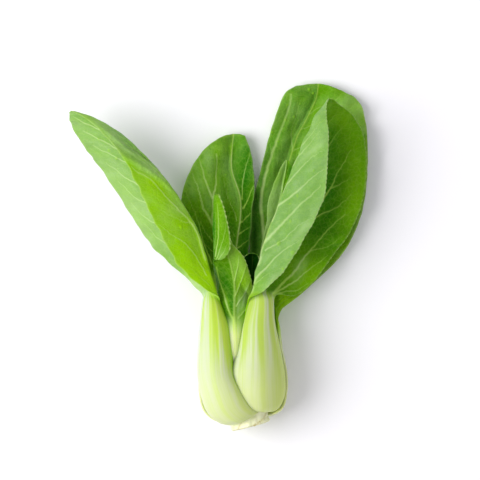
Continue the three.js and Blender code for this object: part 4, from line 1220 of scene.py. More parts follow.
# The right front leaf, folded so that its bluish near half lies over its dark far half.
FRONT_RIGHT = Leaf(
    name="leaf_front_right", slot="front_right_leaf", outer=-1, rows=300, half_columns=74,
    wave=(0.5, 1.3),
    stations=[
        stalk((8.4, 9.6, 27.6), (13.8, 9, 30.4), (18.2, 9, 19.8), 3.2),
        stalk((5.4, 12, 28.8), (13.8, 11, 34.8), (21.2, 11.6, 18.4), 4.6),
        stalk((1.2, 17.6, 29), (13, 17.4, 38.2), (24.4, 18, 18.2), 5.8),
        stalk((-1.8, 27.4, 32.2), (12.8, 27.4, 39.2), (24.6, 27.6, 18.8), 6.2),
        stalk((2, 40, 31.6), (12.8, 40.4, 38.2), (21.6, 41, 21.6), 5.8),
        stalk((4.8, 53, 30.4), (12.8, 53.6, 37), (18.8, 54, 25), 5),
        neck((6.3, 63.6, 31.6), (7, 63.4, 30.4), (13.8, 65, 34.6), (19.7, 66.4, 27.8),
             (20.3, 66.6, 27), 3.9),
        neck((7.8, 66.8, 36.4), (7.4, 66.6, 32.2), (13.2, 68, 33), (19.4, 68.4, 28.2),
             (21.2, 67.8, 26.2), 3.2, (0.2, 0)),
        neck((14, 69.4, 39), (8.6, 69.6, 33.4), (13, 70.6, 31.6), (19, 70.4, 28.6),
             (23.6, 68.2, 24.6), 3.1, (0.4, 0)),
        neck((20, 74.8, 40), (10.4, 75.4, 33.8), (12.8, 76, 31), (17, 74.6, 27.8),
             (31, 67.4, 20.6), 2.5, (0.6, -1)),
        neck((25.6, 80.8, 40.6), (12, 82.4, 33.4), (13, 83.4, 30.6), (15.8, 82.4, 28),
             (41, 75, 18.6), 2, (0.8, -2)),
        blade((33, 92.4, 41), (15.4, 94.4, 31.2), (50.4, 87.6, 17.4), 1.9, 1.7, (1, -3), 1.8),
        blade((40, 104.6, 41.2), (19.8, 106.2, 31.2), (59.2, 99.4, 16.6), 1.9, 1.6, (1, -3.4), 1.8),
        blade((46, 118.8, 41.4), (25, 120.2, 31.6), (65.8, 115, 16), 1.8, 1.5, (1, -3.4), 1.7),
        blade((47.6, 135.2, 41.2), (30.8, 134.6, 32.2), (68.2, 134.6, 15.4), 1.7, 1.3, (1, -3.2), 1.6),
        blade((48.2, 150.4, 39.6), (36.4, 148.4, 32.4), (66.8, 149.6, 15.8), 1.5, 1.2, (0.8, -2.6), 1.5),
        blade((47, 160.6, 36.4), (41.6, 159.8, 31.6), (61.4, 160.2, 17.8), 1.3, 1.1, (0.4, -1.6), 1.4),
        blade((47.6, 166.4, 33), (46.2, 166.2, 30), (54.2, 165.8, 21.8), 1, 0.9, (0, -0.6), 1.2),
        blade((48.8, 168.6, 30.4), (48.4, 168.6, 29), (50.6, 168.5, 26.4), 0.8, 0.8, (0, 0), 1),
    ],
    # The near half's bluish paleness is partly painted sheen, and the far half's dark green partly painted
    # shade under the folded near half; its patches paint sheen and shade.
    near_inner=Face(0.38, 0.8, 0.66, 0.36), near_outer=Face(0.5, 0.5, 0.7, 0.1),
    far_inner=Face(0.55, 0.6, 0.7, 0.2), far_outer=Face(0.21, -0.3, 0.9, 0.2),
    veins=on(NEAR, Vein, [
        ([(29, 135), (35.4, 142), (44.2, 152.4)], 0.8),
        ([(17.4, 107), (22.4, 113.4), (32.2, 121.2), (39, 127.4), (45.8, 132.6)], 1.0, (0.9, 0.35)),
        ([(11.6, 84), (13.4, 91), (18.4, 98), (23.9, 104), (31.2, 111.8), (39.5, 119.6), (44, 124)], 1.0,
          (1.5, 0.35)), ([(8.6, 69), (10.8, 75.4), (16.2, 82), (23.9, 90), (32.8, 95.7)], 1.0, (1.1, 0.3)),
        ([(24, 121), (33.8, 132.6), (40, 138.8), (46.8, 143)], 0.8),
        ([(16, 91), (25, 96.2), (33.8, 104.5), (43.2, 109.2)], 0.75),
        ([(33.6, 143), (40, 151), (46, 160)], 0.7, (0.5, 0.25)),
        ([(10.6, 73.5), (16, 78), (24, 82)], 0.6, (0.5, 0.25)),
    ]) + on(FAR, Vein, [
        ([(17, 66), (21.1, 70.2), (25.5, 75.1), (29.6, 78.5), (33.8, 84.8), (42.1, 94.6), (49.9, 103.5),
          (56.7, 109.2)], 1.0, (0.85, 0.4)),
        ([(34, 100), (42.1, 108.2), (52.5, 112.8), (59.8, 119.6)], 0.85),
        ([(40, 108), (45.8, 118), (49.4, 123.2), (52.5, 130.3), (59.8, 142.5)], 0.95, (0.7, 0.3)),
        ([(49.9, 122.9), (59.3, 127.4)], 0.7, (0.5, 0.25)),
        ([(19, 68), (25.5, 71.8), (31.2, 75.1), (36.9, 80.1), (47.8, 87.9)], 0.85, (0.7, 0.3)),
        ([(20, 67.4), (26, 69.6), (32, 70.4), (38, 74)], 0.7, (0.5, 0.25)),
        ([(38, 90.5), (48, 93), (56, 99)], 0.6, (0.5, 0.25)), ([(46, 140), (50, 148), (57, 156)], 0.6),
        ([(44, 150), (49, 158), (54, 163)], 0.5, (0.5, 0.25)),
    ]),
    patches=on(NEAR, Patch, [
        ((8, 68), (9, 6), 40, 0.15, -0.55), ((40, 150), (14, 6), 70, 0.08, -0.1),
        ((34, 101), (8, 1.4), 50, 0.16, 0.3), ((40, 142), (7, 1.6), 40, 0.16, 0.3),
        ((20, 76), (6, 1.4), 45, 0.12, 0.25),
    ]) + on(FAR, Patch, [
        ((33, 82), (9, 5), 60, 0.3, 0.62), ((48, 140), (24, 5), 80, -0.12),
        ((49, 122), (12, 6), 80, -0.14, -0.25), ((48, 96), (9, 8), 60, -0.07, -0.15),
        ((66, 112), (14, 3.6), 80, 0.0, -0.3), ((62, 138), (22, 6), 95, 0.12, 0.14),
        ((61, 114), (16, 6), 80, 0.16, -0.1), ((52, 160), (9, 6), 140, 0.2, -0.1),
        ((41, 76), (12, 6), 45, 0.26, 0.25), ((44, 104), (14, 6), 50, -0.1, -0.2),
    ]),
    drops=on(NEAR, Drop, [
        (22.4, 94.4, 1.3), (29.6, 90, 1.2), (28.6, 105.8, 0.8), (32.4, 119, 0.8), (28.2, 114.6, 0.6),
        (33.4, 140.6, 0.8), (24.6, 81.4, 0.7), (40.6, 132, 0.6), (26.6, 98.4, 0.6), (21, 90.8, 0.5),
    ]) + on(FAR, Drop, [
        (61.4, 124.4, 0.6), (61.6, 126.4, 0.6), (65, 148, 0.5), (41.8, 75, 0.9), (36, 83.6, 0.6),
    ]),
    quilt=0.32, unevenness=0.36, teeth=0.3, pale_rim=0.3, pale_rib=(0.6, 0.0), blade_from=(64, 71),
    wing=(0.8, 0.85), wing_tone=0.8, cream=(0.35, -0.6), cream_top=(-0.34, 0.14), fresh=-0.08, seam=0.3,
    cell=0.14, seed=5,
)

# The right back leaf, lying open with its inner face up.
BACK_RIGHT = Leaf(
    name="leaf_back_right", slot="back_right_leaf", outer=1, rows=310, half_columns=70, wave=(1.1, 1.3),
    stations=[
        stalk((6, 5.4, 13.6), (12, 5.4, 10.4), (19.2, 6.4, 20.4), 3.2),
        stalk((2.2, 9.6, 12.4), (12.8, 8.8, 5.6), (24.2, 9.6, 21.4), 4.6),
        stalk((1.4, 17.6, 12.2), (13, 17.6, 3.1), (26.3, 17.6, 21.6), 5.8),
        stalk((2, 28, 12), (13.4, 28, 2.9), (26.3, 28, 20.6), 6),
        stalk((4.6, 42, 11.6), (14.4, 42, 3.6), (23, 43, 18), 5.4),
        stalk((8, 54, 11.6), (16, 55, 4.6), (21.8, 53.6, 14.6), 4.4, 0.8),
        neck((7.6, 62, 11.2), (9.6, 62.4, 9.8), (17, 64, 4.8), (21.4, 61.4, 10.6), (24.2, 60, 13.4), 3.9),
        neck((8, 69.6, 10.6), (11.6, 70, 8.6), (18.4, 72, 5), (24, 67.6, 9.4), (30, 64.6, 12.6), 3.4),
        neck((7.4, 84, 8), (15, 84.6, 6), (20.2, 85.4, 4.4), (25.4, 82.6, 6.8), (42.4, 75.4, 10.6),
             2.9, (-0.2, -0.6)),
        blade((7.6, 100, 6), (22.4, 101.4, 3.6), (56, 89.4, 9.4), 3.4, 2.6, (-0.4, 0)),
        blade((8.9, 115, 5.4), (24.8, 116, 3), (65, 107.6, 7.8), 2.8, 2.3, (-0.2, 1.2)),
        blade((12.8, 131, 6.8), (27.4, 132.6, 2.5), (68.4, 125.4, 6.8), 2.4, 2.1, (0.6, 2)),
        blade((17.4, 149, 7.2), (32, 149, 1.9), (69, 142.6, 6.4), 2, 1.9, (1.2, 2.6)),
        blade((21.6, 162.6, 6.8), (38, 160.6, 0.9), (67.8, 158, 5.8), 1.7, 1.7, (1.4, 2.8)),
        blade((26.4, 173, 6.4), (42, 169.6, 2), (64.2, 168.2, 6), 1.3, 1.4, (1.2, 2.2)),
        neck((31.4, 175.8, 5.8), (37.6, 177.1, 5.5), (43.4, 177.3, 4.6), (49, 176.5, 5.3),
             (55.4, 173.8, 5.6), 1),
    ],
    near_inner=Face(0.31, 0.26, 0.8, -0.1), near_outer=Face(0.7, 0.75, 0.8, 0.3),
    far_inner=Face(0.37, 0.14, 0.7, -0.1), far_outer=Face(0.7, 0.75, 0.8, 0.3),
    veins=on(NEAR, Vein, [
        ([(16, 88), (14.5, 103), (13.5, 117.5), (16.1, 131), (19.2, 140.9), (22.4, 149.8), (28.4, 166.4),
          (29.2, 172)], 1.0, (1.1, 0.8)), ([(24.5, 116), (23, 126), (24, 134)], 0.5, (0.5, 0.25)),
        ([(30, 143), (29, 152), (32, 162), (34, 169)], 0.6),
        ([(19.2, 140.9), (17.8, 146), (19, 152)], 0.5, (0.4, 0.25)),
        ([(14, 122), (11.4, 127), (12.4, 132)], 0.5, (0.4, 0.25)),
    ]) + on(FAR, Vein, [
        ([(20.4, 50), (20.6, 56), (22.6, 61.4), (27, 65.4), (33, 69)], 1.0, (0.5, 0.35)),
        ([(21.4, 50), (21.8, 55.4), (23.6, 60.2), (28, 64.4)], 1.0, (0.4, 0.3)),
        ([(19.6, 52), (19.8, 58), (21.4, 63), (25, 67), (30, 71)], 0.9, (0.5, 0.35)),
    ]),
    fans=on(FAR, VeinFan, [
        (4, 0.72, 0.9, 0.11, (0.6, 0.3), 0.55), (4, 0.36, 0.44, 0.12, (0.6, 0.3), 0.7),
    ]),
    patches=on(NEAR, Patch, [
        ((12, 96), (34, 3), 88, -0.1, 0.0, 0.12), ((10, 98), (28, 1.9), 88, -0.16, -0.1, 0.6),
        ((14, 128), (22, 4), 82, -0.1, 0.05), ((20.6, 148), (9, 4), 72, -0.09),
        ((34, 170), (9, 6), 20, -0.08, -0.1), ((28, 148), (28, 4.6), 68, 0.1),
        ((27, 164), (8, 6), 60, 0.06, 0.1),
    ]) + on(FAR, Patch, [
        ((24, 62), (14, 8), 60, 0.6, -0.7), ((46, 174), (8, 4), 0, -0.1, -0.3),
        ((60, 160), (14, 10), 60, 0.2, 0.4), ((44, 88), (22, 4), 45, -0.22, -0.3),
    ]),
    quilt=0.42, unevenness=0.35, pale_rim=0.2, pale_rib=(0.8, 0.55), rib_line=(0.6, 0.28),
    rib_body=(1.8, 0.7), sunk_rib=0.85, blade_from=(48, 62),
    drops=on(NEAR, Drop, [
        (38.4, 174.4, 0.9), (40.4, 172.4, 0.7), (26, 158.6, 0.8), (33.6, 166.8, 0.6), (22.4, 147.6, 0.6),
        (30.6, 160.4, 0.7), (27.4, 166.4, 0.6), (34.6, 158, 0.5), (19, 152, 0.6),
    ]),
    wing=(0.6, 0.1), wing_from=(42, 54), wing_tone=0.8, cream=(0.3, 0.4), pucker=0.45, seed=8,
)

# The left back leaf, lying open with its inner face up.
BACK_LEFT = Leaf(
    name="leaf_back_left", slot="back_left_leaf", outer=1, rows=280, half_columns=60, wave=(1.2, 0.9),
    stations=[
        stalk((-4, 2, 19.8), (2.2, 3.4, 10.8), (7.6, 4.2, 9.4), 3),
        stalk((-10.8, 3.8, 20.4), (-2, 5.4, 5.6), (5.6, 5.6, 5.6), 4.2),
        stalk((-15.8, 8.6, 20.8), (-5.6, 9.4, 3.6), (4.4, 9.4, 4), 5.2),
        stalk((-17.9, 17, 20.8), (-7.4, 17, 3.2), (3.2, 17, 3.6), 5.8),
        stalk((-18, 28, 20.6), (-7.8, 28, 3.2), (2.2, 28, 3.8), 5.8),
        stalk((-16.9, 42, 18), (-7.2, 42, 3.8), (1.4, 42, 5), 5.2),
        stalk((-12.4, 57, 14.2), (-5.4, 57, 4.8), (1.8, 57, 7.4), 4.2, 0.8),
        neck((-11.6, 70, 12.6), (-8.6, 70.4, 9.6), (-3.4, 71, 5.2), (1.4, 70.6, 7), (4.6, 70.2, 8.8), 3.3),
        neck((-17, 83, 12.6), (-5.6, 83.6, 7), (-0.4, 84, 5), (3.4, 84, 6.6), (6.8, 84, 9),
             2.7, (-0.4, 0)),
        blade((-24, 96.6, 12.4), (1.4, 98, 4.8), (7.8, 97, 9), 3, 2.2, (0.6, 0)),
        blade((-28.2, 109, 11.6), (3, 110, 4.4), (8.9, 110, 9), 2.2, 1.7, (2.2, 0)),
        blade((-27.6, 119.4, 10.8), (2.4, 119.6, 4), (10.2, 121, 8.8), 2, 1.6, (3, 0.4)),
        blade((-22.2, 134.4, 9.8), (-1.8, 133.2, 3.2), (9.6, 133.4, 8.6), 1.6, 1.5, (2.6, 1.2)),
        blade((-14, 145.2, 8.6), (-1.6, 143, 2.4), (7.9, 143.8, 7.6), 1.3, 1.3, (1.6, 1.4)),
        neck((-8.6, 149, 7.6), (-4.6, 150.6, 6.6), (-0.8, 151.2, 5), (2.6, 151.2, 5.8),
             (5.4, 150, 6.8), 1),
    ],
    near_inner=Face(0.38, 0.22, 1.0, -0.1), near_outer=Face(0.68, 0.75, 0.8, 0.3),
    far_inner=Face(0.24, 0.04, 1.0, -0.1), far_outer=Face(0.68, 0.75, 0.8, 0.3),
    veins=on(NEAR, Vein, [
        ([(-5, 86), (-9, 97), (-11.4, 105), (-10.9, 119.6), (-9.9, 126.9), (-9.5, 134.2),
          (-9.9, 140.7)], 1.0, (0.85, 0.4)),
        ([(-11.2, 117), (-14.8, 124.8), (-16.6, 132.1), (-18.7, 138.8)], 0.9),
        ([(-10.6, 103), (-15.6, 110.8), (-17.7, 117.5), (-19.2, 123.2), (-22.1, 130.5)], 0.95, (0.7, 0.3)),
        ([(-12, 84), (-16.6, 95.7), (-17.7, 100.4), (-20.3, 109.2), (-25.5, 121.2)], 0.8, (0.5, 0.3)),
        ([(-9, 91), (-13, 97.2), (-15.6, 100.4), (-18, 106)], 0.8, (0.45, 0.25)),
        ([(-9, 88), (-13.5, 92), (-15.6, 94.6)], 0.7, (0.4, 0.25)),
        ([(1, 106), (-1, 112), (-4, 118.6), (-6, 128)], 0.6, (0.4, 0.25)),
        ([(0, 98), (-2.6, 103), (-4.4, 109)], 0.5, (0.35, 0.2)),
        ([(0, 92), (-2.4, 96.6), (-4.6, 102)], 0.5, (0.35, 0.2)),
    ]) + on(FAR, Vein, [
        ([(3.6, 117.5), (4.5, 126.9), (5.7, 134.2), (7.8, 140.7)], 0.7, (0.5, 0.3)),
        ([(4.2, 112.6), (7.3, 118.6), (9.6, 124.3)], 0.95, (0.55, 0.3)),
        ([(2.6, 105), (6, 107.6), (8.3, 110.2)], 0.9, (0.5, 0.3)),
        ([(2.1, 99.3), (7.3, 102.7)], 0.9, (0.5, 0.3)), ([(1.6, 92), (7.4, 96.2)], 0.85, (0.5, 0.3)),
    ]),
    patches=on(NEAR, Patch, [
        ((-18, 98), (20, 8), 125, -0.18, -0.8, 0.12), ((-17, 128), (16, 8), 60, 0.06, 0.06),
        ((-5, 144), (9, 5), 0, 0.08, -0.25), ((-1.8, 102), (17, 4.4), 104, -0.26, -0.5, 0.1),
        ((-16, 92), (14, 5), 125, -0.16, -0.5),
    ]) + on(FAR, Patch, [
        ((6, 96), (22, 6), 85, -0.2, -0.8, 0.22), ((6, 133), (17, 4.2), 80, -0.24),
    ]),
    quilt=0.42, unevenness=0.35, pale_rim=0.15, pale_rib=(0.9, 0.62), rib_line=(0.72, 0.34), sunk_rib=0.7,
    rib_body=(2.0, 0.6), blade_from=(60, 82),
    drops=on(NEAR, Drop, [(-13, 140, 0.5), (-14.4, 125, 0.6), (-5, 130, 0.5)])
        + on(FAR, Drop, [(4, 128, 0.5)]),
    wing_from=(42, 56), cream=(0.4, 0.4), pucker=0.6, cell=0.26, seed=13,
)


# ------------------------------------------------------------------ the young leaves
# The young leaf in the throat, with its near edge folded over as a bright flap.
YOUNG_CENTRE = Leaf(
    name="leaf_young_centre", slot="young_leaf", outer=-1, rows=230, half_columns=52, wave=(0.25, 0.35),
    stations=[
        stalk((1.4, 11.4, 23.4), (4.4, 11, 25.2), (7.6, 11.8, 23.6), 2.4, 0.5),
        stalk((-2.8, 24, 25.8), (1.2, 24, 26.8), (5.2, 24, 22.8), 2.6, 0.7),
        stalk((-5.4, 38, 30.6), (-0.1, 38, 32.8), (1.8, 38, 26), 2.6, 0.6),
        stalk((-6.6, 50, 30.2), (-0.4, 50, 33.2), (5, 50, 26.2), 2.6, 0.6),
        stalk((-7.6, 62, 28.8), (-0.4, 62, 31.6), (9, 62, 24.6), 2.3, 0.6),
        neck((-9.6, 73, 26.6), (-8, 74.4, 28.8), (-0.4, 74, 28.8), (3, 74, 28), (9.2, 73, 25.4),
             1.7, (0, 0.5)),
        neck((-11, 81.8, 28), (-9.6, 82.4, 30.2), (-2.2, 83.4, 29), (1, 83.4, 28.8), (6.2, 84, 27.4),
             1.4, (0, 0.6)),
        neck((-10.9, 85.9, 33.4), (-10.5, 85.8, 31.2), (-3.2, 86.8, 29.4), (-0.4, 87, 29.2),
             (4.6, 87.8, 28.2), 1.2, (0, 0.5)),
        neck((-6.4, 85.9, 35.2), (-10.8, 89.6, 32.2), (-4.2, 90, 29.8), (-1.6, 90.4, 29.6),
             (2.4, 90.6, 29), 1, (0.6, 0.3)),
        neck((-2.6, 90.4, 36), (-10.9, 94.4, 32.4), (-5.2, 95, 30.2), (-3.4, 95, 30.1),
             (-1.2, 94.6, 30), 0.9, (0.8, 0.2)),
        neck((-2.3, 97.6, 36.2), (-11.1, 100, 32.6), (-6.2, 101, 30.8), (-4.8, 101, 30.8),
             (-3, 101, 30.8), 0.9, (0.8, 0.1)),
        neck((-4, 107.4, 35.8), (-11.1, 108, 32.8), (-7.6, 109, 31.2), (-6.4, 109, 31.2),
             (-4.8, 109, 31.2), 0.8, (0.7, 0)),
        neck((-6.2, 115.2, 35.4), (-10.9, 115.2, 33.2), (-8.8, 115.6, 31.8), (-7.8, 115.6, 31.8),
             (-6.6, 115.6, 31.8), 0.8, (0.4, 0)),
        neck((-8, 119.4, 34.8), (-10.4, 119.5, 33.6), (-9.6, 119.8, 32.4), (-8.8, 119.8, 32.3),
             (-7.8, 119.8, 32.3), 0.8),
    ],
    near_inner=Face(0.25, 0.0, 0.95, 0.25), near_outer=Face(0.25, -0.32, 0.85, 0.4),
    far_inner=Face(0.5, 0.3, 0.7, 0.1), far_outer=Face(0.6, 0.15, 0.8, 0.4),
    veins=on(NEAR, Vein, [
        ([(-9.8, 88), (-8.6, 96.2), (-8.2, 104), (-8.9, 114.4)], 0.85, (0.42, 0.32)),
        ([(-9.4, 85.8), (-7.3, 92), (-5.4, 98.3), (-4.4, 104.5)], 0.66, (0.38, 0.28)),
        ([(-8.3, 85.8), (-5.7, 90), (-3.6, 94.6)], 0.56, (0.36, 0.26)),
        ([(-10.2, 92), (-9.8, 104), (-9.8, 112)], 0.5, (0.34, 0.24)),
        ([(2.6, 45.8), (-0.5, 54.1), (-3.1, 60.3), (-5.4, 67.6), (-8, 75.4), (-9.4, 82.2)], 1.0,
          (0.7, 0.4)),
    ]) + on(FAR, Vein, [
        ([(0, 67.6), (4.2, 78), (6.2, 84.8)], 0.85, (0.45, 0.25)),
        ([(0.5, 62.4), (5.7, 70.2), (8.4, 76.4)], 0.85, (0.45, 0.25)),
        ([(-0.3, 75.4), (1.6, 83.2), (2, 88.4)], 0.8, (0.45, 0.25)),
        ([(1.4, 56), (6, 62), (9, 68)], 0.8, (0.45, 0.25)),
    ]),
    fans=on(NEAR, VeinFan, [(7, 0.36, 0.58, 0.14, (0.34, 0.25), 0.35)]),
    patches=on(NEAR, Patch, [
        ((-4.5, 72), (12, 3.4), 105, -0.22), ((-9.2, 64), (14, 1.6), 118, -0.3, -0.2),
        ((-9, 110), (12, 4), 95, 0.16, 0.1), ((-10.8, 104), (13, 1.5), 91, -0.3, -0.1),
        ((-4.8, 92), (7, 3), 62, 0.08, 0.1), ((-6.5, 88), (3, 2.4), 100, 0.2, 0.3),
        ((-4, 64.5), (5, 0.9), 106, 0.4, 0.9), ((0, 62), (6, 4), 90, -0.12, -0.2),
    ]) + on(FAR, Patch, [
        ((1.4, 61.5), (5, 0.9), 84, 0.2, 0.7), ((4.4, 66), (7, 0.8), 76, 0.2, 0.6),
        ((5.6, 79), (8, 2.4), 105, 0.2), ((0, 62), (6, 4), 90, -0.2, -0.2),
    ]),
    quilt=0.1, unevenness=0.14, teeth=0.28, pale_rim=0.8, pale_rib=(0.28, 0.15), rib_line=(0.5, 0.25),
    rib_body=(0.7, 0.45), blade_from=(46, 59), wing=(0.4, 0.8), wing_tone=1.0, cream=(0.4, 0.4),
    # Its stalk is made paler and its finish lighter than the other leaves', painted light on a stalk that
    # lies in shade between the front stalks.
    cream_top=(0.4, 0.4), fresh=-0.45, rim_from=92.0, cell=0.1, seed=21,
    finish=LeafFinish(stalk_pale=(236, 248, 186), stalk_green=(220, 244, 104)),
)

# The slender young leaf between the right front and back leaves.
SLENDER = Leaf(
    name="leaf_slender", slot="slender_leaf", outer=1, rows=230, half_columns=30, wave=(0.3, 0.3),
    stations=[
        stalk((6.8, 11.6, 17), (9.6, 11.8, 15.6), (12.6, 12, 17), 2.2, 0.5),
        stalk((6.6, 30, 16.6), (10.6, 30, 14.6), (14.6, 30, 17), 2.4, 0.7),
        stalk((7.2, 50, 16.4), (11.4, 50, 14.4), (15.4, 50, 17), 2.4, 0.7),
        stalk((8.6, 68, 16.2), (12.8, 68, 14.2), (16.8, 68, 16.8), 2.2, 0.7),
        neck((10.4, 80, 15.8), (11.8, 80.4, 15.2), (14.8, 81, 13.8), (17.8, 80.4, 15), (20, 80, 16.2),
             1.9),
        blade((13.8, 94, 15.2), (17.8, 94.4, 13.6), (23.4, 93, 16), 1.4, 1.4, (0, 0.2)),
        blade((16.2, 106, 14.8), (21, 106.4, 13), (28.6, 104.4, 15.8), 1.2, 1.3, (0.3, 0.4)),
        blade((17, 116, 14.4), (23.6, 117, 12.6), (31.4, 115, 15.4), 1.1, 1.2, (0.4, 0.5)),
        blade((20.8, 127.4, 14), (25.4, 127, 12.4), (31.6, 126, 14.8), 0.9, 1.1, (0.3, 0.4)),
        blade((24, 134.4, 13.4), (26.6, 134, 12.4), (30.4, 133.8, 14), 0.7, 1, (0.1, 0.2)),
        blade((25.9, 137.4, 13), (26.9, 137.6, 12.6), (28.2, 137.2, 13.2), 0.4, 0.8, (0, 0)),
    ],
    near_inner=Face(0.64, 0.72, 0.7, -0.06), near_outer=Face(0.62, 0.75, 0.6, 0.12),
    far_inner=Face(0.6, 0.5, 0.6, -0.06), far_outer=Face(0.62, 0.75, 0.6, 0.12),
    fans=on(NEAR, VeinFan, [(6, 0.62, 0.92, 0.1, (0.4, 0.2), 0.7)])
        + on(FAR, VeinFan, [(7, 0.6, 0.92, 0.08, (0.4, 0.2), 0.7)]),
    patches=on(NEAR, Patch, [
        ((22, 128), (9, 2), 65, -0.1, -0.3), ((20, 104), (10, 1.2), 65, 0.25, 0.2),
    ]) + on(FAR, Patch, [
        ((29.6, 130), (9, 3.6), 95, -0.5, -0.9, 0.25), ((25, 124), (12, 1.2), 70, -0.2, -0.5),
    ]),
    quilt=0.14, unevenness=0.14, teeth=0.12, pale_rim=0.12, pale_rib=(0.25, 0.05), rib_line=(0.4, 0.25),
    rib_body=(1.2, 0.4), blade_from=(66, 84), seed=34,
)

# The smallest leaf, cupped, painted dark inside with the shade of its hollow, with a pale toothed rim.
INNER_TINY = Leaf(
    name="leaf_inner_tiny", slot="inner_leaf", outer=1, rows=150, half_columns=30, wave=(0.2, 0.2),
    stations=[
        stalk((4.6, 12, 20.6), (6.8, 12.2, 19.6), (9.2, 12.2, 20.8), 1.4, 0.5),
        stalk((4.4, 32, 21.2), (7, 32, 19.6), (9.8, 32, 21.2), 1.6, 0.6),
        stalk((4.4, 52, 21.6), (7.6, 52, 19.6), (10.8, 52, 21.6), 1.5, 0.6),
        stalk((4.6, 66, 22.4), (8, 66, 19.8), (11.6, 66, 22.4), 1.3, 0.7),
        neck((3.6, 74, 23.6), (5.2, 74, 21.4), (8.4, 74, 19.4), (11.4, 74, 21.4), (13, 74, 23.6),
             1.1, (-0.1, -0.1)),
        neck((4, 82, 25), (5.2, 82, 21.8), (8.8, 82, 19.2), (12, 82, 21.8), (13.2, 82, 25),
             0.9, (-0.2, -0.2)),
        neck((5, 87.6, 25.8), (6, 88.2, 23), (9.2, 88.6, 20.8), (11.6, 88, 23), (12.4, 87, 25.8),
             0.8, (-0.1, -0.1)),
        neck((6.2, 88.4, 26.6), (7, 89, 25.2), (9.3, 89.4, 24.2), (11.2, 88.8, 25.2),
             (12, 87.8, 26.6), 0.8),
    ],
    near_inner=Face(0.0, 0.0, 0.3, -0.05, 0.9), near_outer=Face(0.45, 0.4, 0.5, 0.1),
    far_inner=Face(0.0, 0.0, 0.3, -0.05, 0.9), far_outer=Face(0.45, 0.4, 0.5, 0.1),
    fans=on(NEAR, VeinFan, [(4, 0.7, 0.92, 0.06, (0.35, 0.2), 0.6)])
        + on(FAR, VeinFan, [(4, 0.7, 0.92, 0.06, (0.35, 0.2), 0.6)]),
    quilt=0.08, unevenness=0.1, teeth=0.3, pale_rim=0.9, pale_rib=(0.2, 0.1), rib_line=(0.4, 0.2),
    rib_body=(1.0, 0.5), blade_from=(50, 66), seed=55,
)

LEAVES = (FRONT_LEFT, FRONT_RIGHT, BACK_RIGHT, BACK_LEFT, YOUNG_CENTRE, SLENDER, INNER_TINY)


